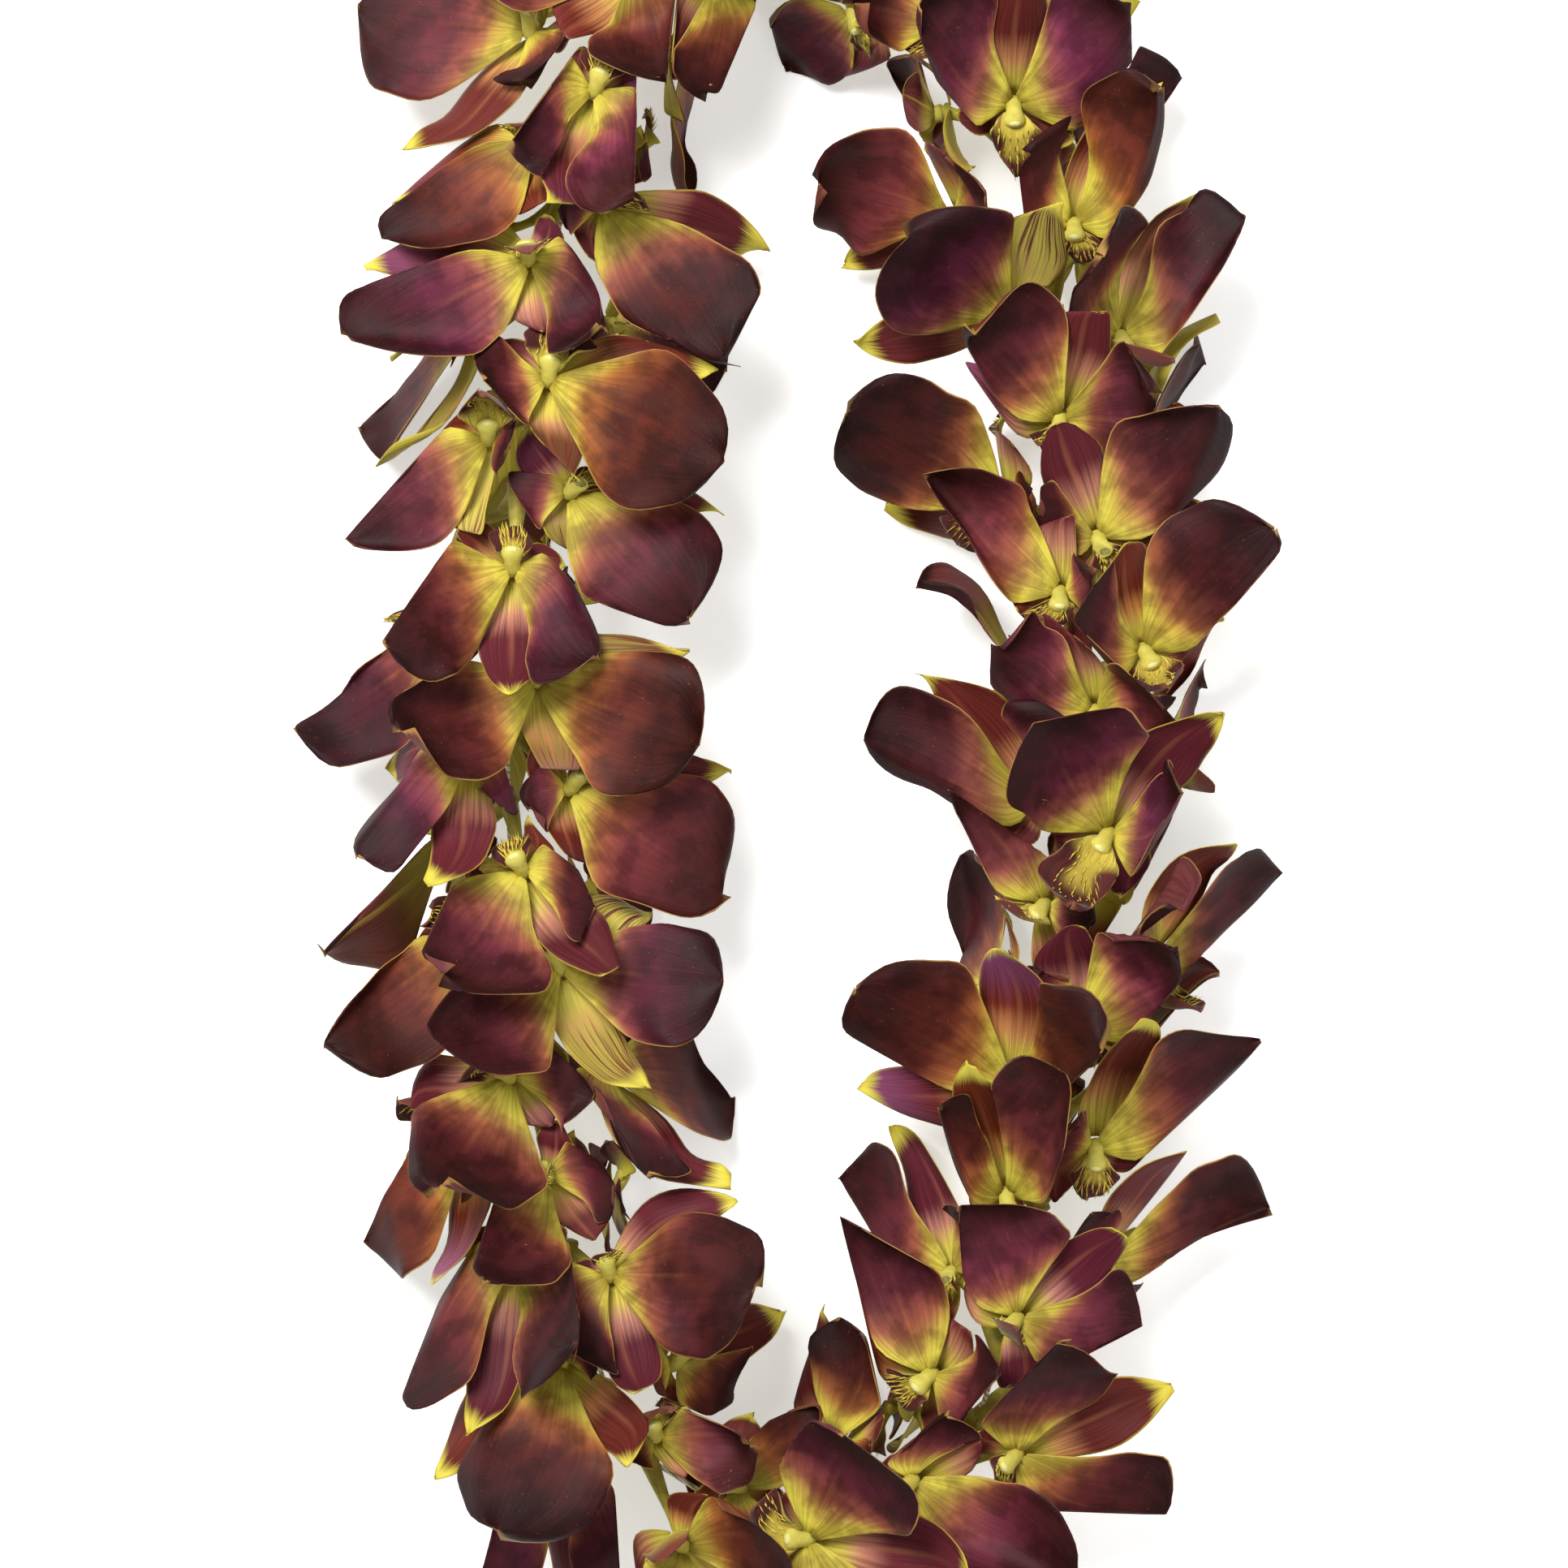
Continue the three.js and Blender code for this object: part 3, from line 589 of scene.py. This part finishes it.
def sheet_shell(sheet):
    """A thin closed blade on both sides of a middle surface: point +- thickness * normal, thinner at the
    margin, with a rim round it."""
    points = sheet.points
    rows, columns = points.shape[1:3]
    normal = unit(np.cross(np.gradient(points, axis=2), np.gradient(points, axis=1)))
    inland = np.minimum(1, sheet.edge / THIN_MARGIN)
    thick = PETAL_HALF * (MARGIN_THICKNESS + (1 - MARGIN_THICKNESS) * inland)[..., None]
    front = (points + normal * thick).reshape(BLOOMS, -1, 3)
    back = (points - normal * thick).reshape(BLOOMS, -1, 3)
    count = rows * columns
    index = np.arange(count).reshape(rows, columns)
    ring = np.concatenate([index[0, :-1], index[:-1, -1], index[-1, :0:-1], index[:0:-1, 0]])
    following = np.roll(ring, -1)
    rim = np.stack([ring, ring + count, following + count, following], -1)
    quads = grid_faces(rows, columns)
    faces = np.concatenate([quads, quads[:, ::-1] + count, rim])

    def twice(values):
        return np.concatenate([values.reshape(values.shape[:-2] + (-1,))] * 2, -1)

    return Shell(sheet.finish, np.concatenate([front, back], 1), [faces], twice(sheet.v), twice(sheet.s),
                 twice(sheet.edge), np.repeat([1.0, 0.0], count))


def tube_shell(finish, centres, aside, ahead, widths, heights, around):
    """A closed tube: centre + aside * width * cos + below * height * sin for each ring, where below = aside
    cross ahead, with one face over each end. centres, aside and ahead are (bloom, ring, 3); widths and
    heights have one value for each ring."""
    angle = np.linspace(0, 2 * np.pi, around, endpoint=False)
    cos, sin = np.cos(angle)[:, None], np.sin(angle)[:, None]
    rings = centres.shape[1]
    below = np.cross(aside, ahead)
    points = (centres[:, :, None] + aside[:, :, None] * (widths[:, None, None] * cos)
              + below[:, :, None] * (heights[:, None, None] * sin))
    along = np.broadcast_to(np.linspace(0, 1, rings)[:, None], (rings, around)).ravel()
    across = np.broadcast_to(np.sin(angle)[None], (rings, around)).ravel()
    end = np.arange(around)[None]
    blocks = [grid_faces(rings, around, wrap=True), end[:, ::-1], end + (rings - 1) * around]
    return Shell(finish, points.reshape(BLOOMS, -1, 3), blocks, along, across)


def column_path(share):
    """Centres of the column at shares of its length, with the directions aside and ahead: it rises from the
    throat and bows over the lip, throat + rise * share * (1 - 0.2 share) * face - bow * share^2 * top."""
    share = np.asarray(share)[None, :, None]
    face, top = blooms.face[:, None], blooms.top[:, None]
    rise = COLUMN_RISE * share * (1 - 0.2 * share) * face
    centres = blooms.throat[:, None] + rise - COLUMN_BOW * share**2 * top
    ahead = unit(face * COLUMN_RISE * (1 - 0.4 * share) - top * 2 * COLUMN_BOW * share)
    return centres, np.broadcast_to(blooms.across[:, None], centres.shape), ahead


def column_shell():
    """The column: a short hooded rod, broadest near its end, where it has a round shoulder on each side.
    Its profile gives the half width and half height at shares of its length."""
    share = np.array([0, 0.1, 0.25, 0.45, 0.62, 0.76, 0.87, 0.95, 1.0])
    widths = np.array([2.2, 2.2, 2.0, 1.9, 2.2, 2.7, 2.7, 2.0, 0.9])
    heights = np.array([2.2, 2.2, 2.0, 1.7, 1.7, 1.8, 1.7, 1.3, 0.6])
    return tube_shell("column", *column_path(share), widths, heights, 14).pressed()


def cap_shell():
    """The pale cap: a low round lid on the column's end, with rings at half length * cos(angle) along it
    that are as wide and as high as sin(angle) makes them."""
    share, height = 0.9, 0.8
    half_length, half_width, half_height = 0.9, 1.6, 0.95
    angle = np.linspace(0.15, np.pi - 0.15, 7)
    middle, aside, ahead = column_path([share])
    above = np.cross(ahead, aside)
    centres = middle - ahead * (half_length * np.cos(angle))[None, :, None] + above * height
    aside, ahead = (np.broadcast_to(part, centres.shape) for part in (aside, ahead))
    widths, heights = half_width * np.sin(angle), half_height * np.sin(angle)
    return tube_shell("cap", centres, aside, ahead, widths, heights, 12).pressed()


def stalk_shell():
    """The stalk: a tube along a smooth bend from the throat through the neck to the thread, (1 - s)^2 start
    + 2 s (1 - s) neck + s^2 end, with the radius 1.5 + 0.5 cos(2 pi s) + 0.6 s^3."""
    neck, _, end = stalk_path()
    s = np.linspace(0, 1, 12)
    share = s[None, :, None]
    start = (blooms.throat + STALK_START * blooms.face)[:, None]
    centres = (1 - share) ** 2 * start + 2 * share * (1 - share) * neck[:, None] + share**2 * end[:, None]
    ahead = unit(np.gradient(centres, axis=1))
    across = blooms.across[:, None]
    aside = -unit(across - ahead * dot(across, ahead))
    radii = 1.5 + 0.5 * np.cos(2 * np.pi * s) + 0.6 * s**3
    return tube_shell("stalk", centres, aside, ahead, radii, radii, 10)


HAIRS = 44
HAIR_RADIUS = 0.4
HAIR_FACES = np.array([[0, 1, 3], [1, 2, 3], [2, 0, 3], [2, 1, 0]])


def brush_shell(lip):
    """The yellow brush of the lip: tapered hairs in rows, each from a point of the lip's middle ridge, bent
    forwards. A hair is a three-sided spike, with three corners at root + radius * (side * cos + up * sin)
    and a tip at root + 0.85 length * ahead + rise * up + lean * length * side."""
    n = np.arange(HAIRS)
    middle = LIP["grid"][1] // 2
    rows = 3 + n * 7 % 9
    columns = middle - 3 + n % 7
    root = lip[:, rows, columns]
    ahead = unit(lip[:, rows + 3, columns] - root)
    side = unit(lip[:, rows, columns + 1] - root)
    up = np.cross(side, ahead)
    i = blooms.i[:, None]
    length = (3.2 + 1.1 * draw(i, TRAIT["hair_length"] + n))[..., None]
    lean = (0.12 * (columns - middle) + 0.2 * draw(i, TRAIT["hair_lean"] + n))[..., None]
    rise = (0.9 + 0.5 * draw(i, TRAIT["hair_rise"] + n))[..., None]
    tip = root + ahead * length * 0.85 + up * rise + side * lean * length
    angle = np.radians([90, 210, 330])
    corners = (root[:, :, None] + side[:, :, None] * (HAIR_RADIUS * np.cos(angle))[:, None]
               + up[:, :, None] * (HAIR_RADIUS * np.sin(angle))[:, None])
    points = np.concatenate([corners, tip[:, :, None]], 2).reshape(BLOOMS, -1, 3)
    faces = (4 * n[:, None, None] + HAIR_FACES).reshape(-1, 3)
    return Shell("brush", points, [faces], np.tile([0, 0, 0, 1.0], HAIRS), 0.0)


# ---- Tints ----
# For each tint its middle, its spread and how much of it is a part's own draw instead of the bloom's.
TINT_MIX = dict(plum=(0.45, 0.75, 0.45), rust=(0.36, 0.6, 0.5), light=(0.5, 0.5, 0.6), yellow=(0.5, 0.5, 0.5))
TINT_ROWS = len(TEPALS) + 2


def tints():
    """For each bloom, shares of plum, of rust, of lightness and of yellow from 0 to 1: one row for each
    tepal, one for the column and one for the rest."""
    i = blooms.i[:, None]
    k = np.arange(TINT_ROWS)[None]
    shares = []
    for name, (middle, spread, own) in TINT_MIX.items():
        mixed = (1 - own) * draw(i, TRAIT[name]) + own * draw(i, TRAIT[name] + 1 + k)
        shares.append(np.clip(middle + spread * mixed, 0, 1))
    return np.stack(shares, -1)


# ---- Finishes ----
def linear(hex_colour):
    """A hex colour as linear red, green, blue and 1."""
    channels = [int(hex_colour[i:i + 2], 16) / 255 for i in (0, 2, 4)]
    return tuple(((c + 0.055) / 1.055) ** 2.4 if c > 0.04 else c / 12.92 for c in channels) + (1.0,)


class Palette:
    """The linear colours of one finish, by name, from hex colours."""

    def __init__(self, **codes):
        for name, code in codes.items():
            setattr(self, name, linear(code))


class Value:
    """A number socket of a material. Operators add its Math nodes."""

    def __init__(self, finish, socket):
        self.finish, self.socket = finish, socket

    def math(self, operation, *others):
        sockets = dict(enumerate((self, *others)))
        return self.finish.node("ShaderNodeMath", {"operation": operation}, sockets)

    def __add__(self, other):
        return self.math("ADD", other)

    def __sub__(self, other):
        return self.math("SUBTRACT", other)

    def __mul__(self, other):
        return self.math("MULTIPLY", other)

    def __rsub__(self, other):
        return self.finish.node("ShaderNodeMath", {"operation": "SUBTRACT"}, {0: other, 1: self})

    __radd__ = __add__
    __rmul__ = __mul__

    def swing(self, reach):
        """A noise as a swing to both sides of nothing: reach * (noise - 0.5)."""
        return reach * (self - 0.5)


class Finish:
    """A node material with short ways to add nodes."""

    def __init__(self, name):
        self.material = bpy.data.materials.new(name)
        self.material.use_nodes = True
        self.tree = self.material.node_tree
        self.shader = self.tree.nodes["Principled BSDF"]

    def node(self, kind, settings=None, sockets=None, output=0):
        """Any node: its settings first, then the values or links of its sockets."""
        made = self.tree.nodes.new(kind)
        for key, value in (settings or {}).items():
            setattr(made, key, value)
        for key, value in (sockets or {}).items():
            self.feed(made.inputs[key], value)
        return Value(self, made.outputs[output])

    def feed(self, socket, value):
        if isinstance(value, Value):
            self.tree.links.new(value.socket, socket)
        else:
            socket.default_value = value

    def fact(self, name, output="Fac"):
        """A value that the mesh carries for each point."""
        return self.node("ShaderNodeAttribute", {"attribute_name": name}, output=output)

    def parts(self, vector):
        """The three numbers of a vector."""
        split = self.node("ShaderNodeSeparateXYZ", sockets={0: vector})
        return [Value(self, socket) for socket in split.socket.node.outputs]

    def place(self):
        """Where a point is, in metres."""
        return self.node("ShaderNodeTexCoord", output="Object")

    def vector(self, x, y, z):
        return self.node("ShaderNodeCombineXYZ", sockets={0: x, 1: y, 2: z})

    def noise(self, vector, scale, detail):
        return self.node("ShaderNodeTexNoise", sockets={"Vector": vector, "Scale": scale, "Detail": detail})

    def ease(self, value, low, high):
        """0 at low, 1 at high and a smooth step between. Low may be the larger of the two."""
        return self.node("ShaderNodeMapRange", {"interpolation_type": "SMOOTHSTEP"},
                         {"Value": value, "From Min": low, "From Max": high})

    def mix(self, share, first, second, blend="MIX"):
        return self.node("ShaderNodeMix", {"data_type": "RGBA", "blend_type": blend, "clamp_factor": True},
                         {0: share, 6: first, 7: second}, output=2)

    def stain(self, share, colour, dye):
        """A colour multiplied by a dye where the share is 1."""
        return self.mix(share, colour, dye, "MULTIPLY")

    def bump(self, height, distance, strength):
        return self.node("ShaderNodeBump",
                         sockets={"Height": height, "Distance": distance, "Strength": strength})

    def wear(self, **sockets):
        """The material, once its shader's sockets have these values or links."""
        for name, value in sockets.items():
            self.feed(self.shader.inputs[name.replace("_", " ")], value)
        return self.material


# The patches of each noise to a metre, the veins across a tepal and how much they are drawn out along it.
CLOUDS = 45
MOTTLE = 140
SPECKLES = 1500
VEINS = 21
VEIN_STRETCH = 1.6
VEIN_SEED = 37


class TepalFinish(Finish):
    """A finish that knows where a point lies on its tepal, the tints of its bloom and the noises of its
    skin. The veins fan out from the root: noise at (across * (0.55 + 0.45 sin(along)), along)."""

    def __init__(self, name):
        super().__init__(name)
        self.plum, self.rust, self.light = self.parts(self.fact("tint", "Vector"))
        self.yellow = self.fact("tint", "Alpha")
        self.along, self.edge, self.front = self.fact("along"), self.fact("edge"), self.fact("front")
        across = self.fact("across")
        self.side = across.math("ABSOLUTE")
        fan = across * (0.55 + 0.45 * self.along.math("SINE"))
        seed = (self.plum + self.rust) * VEIN_SEED
        self.veins = self.noise(self.vector(fan * VEINS, self.along * VEIN_STRETCH, seed), 1.0, 2.0)
        self.mottle = self.noise(self.place(), MOTTLE, 3.0)
        self.clouds = self.noise(self.place(), CLOUDS, 2.0)
        self.speckle = self.noise(self.place(), SPECKLES, 2.0)


def petal_material():
    """Petals: a yellow-green base that feathers through amber or rose into mahogany, plum or rust, with a
    painted sheen in patches and painted shade that darkens it towards the end, a paler midrib, fine veins
    and a thin pale rim. The back is olive with a maroon flush."""
    f = TepalFinish("petal velvet")
    # Two colours here paint light: a copper and an orchid pink sheen. The darkest, near-black one paints
    # shade.
    c = Palette(base="aa9c2c", base_lit="d6c750", amber="a4622c", rose="9a5048", mahogany="42120a",
                plum="42111d", rust="4e1d0e", copper_sheen="7c3824", orchid="803054", dark_tone_and_shade="1e080a",
                midrib="b07038", vein="2c1014", bruise="6a4440", olive="aca040", umber="6e3a20",
                maroon="5e2834", back_midrib="b8a83c", back_vein="5a4018", rim="b48a48", speckle="b07858")

    # The deep colour of the blade, with a painted sheen in patches and painted shade towards the end.
    blade = f.mix(f.rust * 0.7, f.mix(f.plum, c.mahogany, c.plum), c.rust)
    # Painted sheen: copper to orchid pink over the inner part of the blade, in patches, more on lighter
    # petals.
    sheen = f.ease(f.along, 0.95, 0.35) * f.ease(f.clouds + 0.4 * f.light, 0.35, 1.0) * (0.2 + 0.75 * f.light)
    blade = f.mix(sheen, blade, f.mix(f.plum, c.copper_sheen, c.orchid))
    # Painted shade: the blade darkens towards its end and its sides, less on the lighter petals.
    dark = f.ease(f.along + f.clouds.swing(0.4) + 0.12 * f.side, 0.4, 1.0) * (0.85 - 0.45 * f.light)
    blade = f.mix(dark, blade, c.dark_tone_and_shade)

    # The base ends at a feathered border, further out at the sides than at the midrib.
    feather = f.veins.swing(0.05) + f.clouds.swing(0.14) + f.mottle.swing(0.05)
    border = 0.05 + 0.13 * f.yellow + 0.15 * f.side * f.side + feather
    warm = f.mix(f.plum, c.amber, c.rose)
    front = f.mix(f.ease(f.along - border, -0.08, 0.18), f.mix(f.veins, c.base, c.base_lit), warm)
    front = f.mix(f.ease(f.along - border, 0.02, 0.36), front, blade)
    front = f.mix(f.ease(f.side, 0.06, 0.0) * f.ease(f.along, 0.6, 0.2) * 0.25, front, c.midrib)
    front = f.stain(f.ease(f.veins, 0.62, 0.38) * 0.16, front, c.vein)
    front = f.stain(f.ease(f.mottle, 0.62, 0.38) * 0.5, front, c.bruise)

    flush = f.ease(f.along + f.veins.swing(0.25) + f.clouds.swing(0.35), 0.1, 0.62)
    back = f.mix(flush, c.olive, f.mix(f.plum, c.umber, c.maroon))
    back = f.mix(f.ease(f.side, 0.08, 0.0) * 0.5, back, c.back_midrib)
    back = f.stain(f.ease(f.veins, 0.6, 0.4) * 0.35, back, c.back_vein)

    colour = f.mix(f.front, back, front)
    worn = f.ease(f.clouds + 0.25 * f.ease(f.along, 0.9, 0.4), 0.4, 0.66)
    colour = f.mix(f.ease(f.edge + f.mottle.swing(0.3), 0.45, 0.05) * worn * 0.75, colour, c.rim)
    colour = f.mix(f.ease(f.speckle, 0.68, 0.8) * 0.22, colour, c.speckle)
    height = 0.45 * f.veins + 0.35 * f.mottle + 0.2 * f.speckle
    return f.wear(Base_Color=colour, Roughness=0.5 + 0.16 * f.mottle, Normal=f.bump(height, 0.5 * MM, 0.5),
                  Specular_IOR_Level=0.14)


def sepal_material():
    """Sepals: a yellow base, a streaked rose, rust or plum middle, some with a painted pale lilac sheen, and
    a yellow tip and margin. Some are yellow-green all over. The back is yellow-green with long streaks."""
    f = TepalFinish("sepal streaks")
    c = Palette(base="c9bb46", amber="c08440", rose="b4766a", rust="70290f", plum="622030", dark_tone_and_shade="2c0c0c",
                vein="401418", midrib="b06c48", pale_sheen="a8609a", tip="ccbe48", green="c0b44e", back="b5a940",
                flush="84482c", back_vein="6a6020", rim="b89c34")

    blade = f.mix(f.plum, c.rust, c.plum)
    blade = f.mix(f.light, f.mix(0.45, blade, c.dark_tone_and_shade), blade)
    border = 0.12 + 0.14 * f.yellow + f.veins.swing(0.08) + f.clouds.swing(0.14)
    front = f.mix(f.ease(f.along - border, -0.1, 0.1), c.base, f.mix(f.plum, c.amber, c.rose))
    front = f.mix(f.ease(f.along - border, 0.02, 0.26), front, blade)
    front = f.stain(f.ease(f.veins, 0.6, 0.4) * 0.3, front, c.vein)
    front = f.mix(f.ease(f.side, 0.14, 0.0) * f.ease(f.along, 0.9, 0.4) * 0.25, front, c.midrib)
    # Painted sheen: a pale lilac over the outer part of the lighter sepals.
    pale_sheen = f.ease(f.light, 0.7, 1.0) * f.ease(f.along + f.veins.swing(0.3), 0.4, 0.85) * 0.55
    front = f.mix(pale_sheen, front, c.pale_sheen)
    tip = f.ease(f.along + f.veins.swing(0.14) + 0.06 * f.side + 0.05 * f.yellow, 0.86, 0.99)
    front = f.mix(tip, front, c.tip)
    green = f.ease(f.yellow, 0.72, 0.88) * f.ease(f.veins + 0.3 * f.along, 0.85, 0.6) * 0.85
    front = f.mix(green, front, c.green)

    flush = f.ease(f.along + f.veins.swing(0.5), 0.2, 0.8) * f.rust * f.ease(f.along, 1.0, 0.85)
    back = f.mix(flush, c.back, c.flush)
    back = f.stain(f.ease(f.veins, 0.6, 0.4) * 0.3, back, c.back_vein)

    colour = f.mix(f.front, back, front)
    colour = f.mix(f.ease(f.edge + f.mottle.swing(0.4), 0.55, 0.1) * 0.6, colour, c.rim)
    height = 0.6 * f.veins + 0.25 * f.mottle + 0.15 * f.speckle
    return f.wear(Base_Color=colour, Roughness=0.5 + 0.16 * f.mottle, Normal=f.bump(height, 0.5 * MM, 0.5),
                  Specular_IOR_Level=0.14)


def lip_material():
    """The lip: yellow-green side lobes with maroon lines, a dark velvet middle lobe and a yellow crest
    between."""
    f = TepalFinish("lip velvet")
    c = Palette(throat="bfb044", line="6a2418", lobe="38100e", lobe_lit="5a1e1a", vein="200608",
                crest="b4a03a", back="b0a638", back_end="6a3024", rim="a06838")

    throat = f.mix(f.ease(f.veins, 0.55, 0.4) * 0.7, c.throat, c.line)
    lobe = f.mix(f.clouds, c.lobe, c.lobe_lit)
    lobe = f.mix(f.ease(f.veins, 0.6, 0.45) * 0.5, lobe, c.vein)
    front = f.mix(f.ease(f.along + f.veins.swing(0.12) + 0.15 * f.side, 0.28, 0.46), throat, lobe)
    crest = f.ease(f.side + f.veins.swing(0.2), 0.5, 0.2) * f.ease(f.along, 0.72, 0.5)
    front = f.mix(crest * 0.7, front, c.crest)
    back = f.mix(f.ease(f.along, 0.2, 0.8), c.back, c.back_end)

    colour = f.mix(f.front, back, front)
    colour = f.mix(f.ease(f.edge, 0.4, 0.05) * 0.35, colour, c.rim)
    height = 0.6 * f.veins + 0.4 * f.mottle
    return f.wear(Base_Color=colour, Roughness=0.62 + 0.1 * f.mottle, Normal=f.bump(height, 0.6 * MM, 0.6),
                  Sheen_Weight=0.15, Sheen_Roughness=0.5, Specular_IOR_Level=0.15)


def flesh_material(name, root, end, patches, roughness):
    """A fleshy part that fades along it from the colour of its root to that of its end, and is mottled."""
    f = Finish(name)
    mottle = f.noise(f.place(), patches, 3.0)
    colour = f.mix(f.ease(mottle + 0.4 * f.fact("along"), 0.35, 0.95), linear(root), linear(end))
    return f.wear(Base_Color=colour, Roughness=roughness + 0.15 * mottle,
                  Normal=f.bump(mottle, 0.4 * MM, 0.5), Specular_IOR_Level=0.25)


def thread_material():
    """Cotton thread: two plies twisted round each other, as slanted stripes 1.7 mm apart in colour and
    height, with painted shade in the grooves between the plies."""
    f = Finish("cotton thread")
    c = Palette(groove="a89c78", ply="ece4cc")
    x, y, z = f.parts(f.place())
    twist = ((x + y) * 3600 + z * 2600).math("SINE")
    fuzz = f.noise(f.place(), 2000, 3.0)
    # Painted shade: the grooves between the plies are darker than the plies.
    colour = f.mix(f.ease(twist, -1.0, 0.2), c.groove, c.ply)
    return f.wear(Base_Color=colour, Roughness=0.8 + 0.1 * fuzz, Normal=f.bump(twist, 0.2 * MM, 0.8))


MATERIALS = {
    "petal": petal_material(),
    "sepal": sepal_material(),
    "lip": lip_material(),
    "column": flesh_material("column flesh", "aea03a", "bfb454", 500, 0.6),
    "cap": flesh_material("column cap", "c6be5a", "d4ce88", 700, 0.6),
    "stalk": flesh_material("stalk flesh", "b6b040", "8a7c30", 300, 0.45),
    "brush": flesh_material("lip brush", "a88c30", "d6c24e", 900, 0.6),
}
FINISHES = list(MATERIALS)


# ---- The lei ----
loop_middle = (np.array(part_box("thread")[0]) + np.array(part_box("thread")[1])) / 2
SHIFT = loop_middle - UP * THREAD_HEIGHT * MM
TINTS = tints()
sheets = [Sheet(k) for k in range(len(TEPALS))]
shells = [sheet_shell(sheet) for sheet in sheets]
shells += [column_shell(), cap_shell(), stalk_shell(), brush_shell(sheets[LIP_PLACE].points)]


def add_piece(name, members):
    """One mesh object with all shells of some blooms. Its attributes are the facts and tints that the
    finishes read, and its UV map is (across / 2 + 0.5, along)."""
    corners, totals, finishes, points, tint = [], [], [], [], []
    facts = {key: [] for key in FACTS}
    offset = 0
    for b in members:
        for k, shell in enumerate(shells):
            for block in shell.blocks:
                corners.append((block + offset).ravel())
                totals.append(np.full(len(block), block.shape[1]))
                finishes.append(np.full(len(block), FINISHES.index(shell.finish)))
            count = shell.points.shape[1]
            points.append(shell.points[b])
            tint.append(np.broadcast_to(TINTS[b, min(k, TINT_ROWS - 1)], (count, 4)))
            for key, kept in facts.items():
                kept.append(shell.facts[key][b])
            offset += count
    corners, totals = np.concatenate(corners), np.concatenate(totals)
    mesh = bpy.data.meshes.new(name)
    mesh.vertices.add(offset)
    mesh.loops.add(len(corners))
    mesh.polygons.add(len(totals))
    mesh.vertices.foreach_set("co", (np.concatenate(points) * MM + SHIFT).astype(np.float32).ravel())
    mesh.loops.foreach_set("vertex_index", corners.astype(np.int32))
    mesh.polygons.foreach_set("loop_start", (np.cumsum(totals) - totals).astype(np.int32))
    mesh.polygons.foreach_set("material_index", np.concatenate(finishes).astype(np.int32))
    mesh.update(calc_edges=True)
    mesh.shade_smooth()
    for key, kept in facts.items():
        mesh.attributes.new(key, "FLOAT", "POINT").data.foreach_set("value", np.concatenate(kept))
    tint = np.concatenate(tint).astype(np.float32)
    mesh.attributes.new("tint", "FLOAT_COLOR", "POINT").data.foreach_set("color", tint.ravel())
    uv = np.stack([np.concatenate(facts["across"]) / 2 + 0.5, np.concatenate(facts["along"])], -1)[corners]
    mesh.uv_layers.new(name="grain").uv.foreach_set("vector", uv.astype(np.float32).ravel())
    for material in MATERIALS.values():
        mesh.materials.append(material)
    mesh.validate()
    piece = bpy.data.objects.new(name, mesh)
    bpy.context.scene.collection.objects.link(piece)
    return piece


for first in range(0, BLOOMS, BLOOMS_PER_NODE):
    node = f"blooms_{first // BLOOMS_PER_NODE + 1:02d}"
    piece = add_piece(node.replace("blooms", "orchids"), range(first, first + BLOOMS_PER_NODE))
    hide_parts(node)
    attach(piece, "root")

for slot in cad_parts["thread"].material_slots:
    slot.material = thread_material()


# ---- Floor, light and camera ----
# The camera's field is the width of the photograph at the height of the thread.
FIELD = 377.7 * MM
LENS = 113
SENSOR = 36
VIEW_OFFSET = np.array([-3.2, -15.5, 0]) * MM
FLOOR_SIZE = 6
FLOOR_DEPTH = 0.5 * MM
FLOOR_PALENESS = 0.9
FLOOR_GLOW = 0.45
SKY_LIGHT = 0.42
SKY_SEEN = 1.0


def grey(level):
    """A grey of one level in all channels."""
    return (level, level, level, 1)


def add_floor():
    """A pale matt floor that glows a little, as on a light table, so that shadows stay faint."""
    bpy.ops.mesh.primitive_plane_add(size=FLOOR_SIZE, location=(0, 0, -FLOOR_DEPTH))
    floor = bpy.context.object
    floor.name = "floor"
    f = Finish("pale floor")
    floor.data.materials.append(f.wear(Base_Color=grey(FLOOR_PALENESS), Roughness=0.9,
                                       Emission_Color=grey(FLOOR_GLOW), Emission_Strength=1))


def add_light(name, place, size, power):
    """A square area light that looks at the middle of the lei."""
    light = bpy.data.lights.new(name, "AREA")
    light.size, light.energy = size, power
    lamp = bpy.data.objects.new(name, light)
    lamp.location = place
    lamp.rotation_euler = (-lamp.location).to_track_quat("-Z", "Y").to_euler()
    bpy.context.scene.collection.objects.link(lamp)


def add_sky():
    """A white surrounding: it is seen as white and lights the lei more softly than that, strength = light +
    (seen - light) * camera ray."""
    world = bpy.data.worlds.new("studio")
    world.use_nodes = True
    nodes, links = world.node_tree.nodes, world.node_tree.links
    background = nodes["Background"]
    background.inputs["Color"].default_value = grey(1)
    ray = nodes.new("ShaderNodeLightPath")
    strength = nodes.new("ShaderNodeMath")
    strength.operation = "MULTIPLY_ADD"
    strength.inputs[1].default_value = SKY_SEEN - SKY_LIGHT
    strength.inputs[2].default_value = SKY_LIGHT
    links.new(ray.outputs["Is Camera Ray"], strength.inputs[0])
    links.new(strength.outputs[0], background.inputs["Strength"])
    bpy.context.scene.world = world


def add_camera():
    """Straight above, at the height from which the lens takes in the field at the height of the thread."""
    camera = bpy.data.cameras.new("camera")
    camera.lens, camera.sensor_width = LENS, SENSOR
    eye = bpy.data.objects.new("camera", camera)
    eye.location = loop_middle + VIEW_OFFSET + UP * FIELD * LENS / SENSOR
    bpy.context.scene.collection.objects.link(eye)
    bpy.context.scene.camera = eye


add_floor()
add_light("key", (-0.5, 0.7, 1.3), 0.7, 34)
add_light("fill", (0.9, -0.5, 1.2), 1.4, 7)
add_sky()
add_camera()
bpy.context.scene.view_settings.view_transform = "Standard"
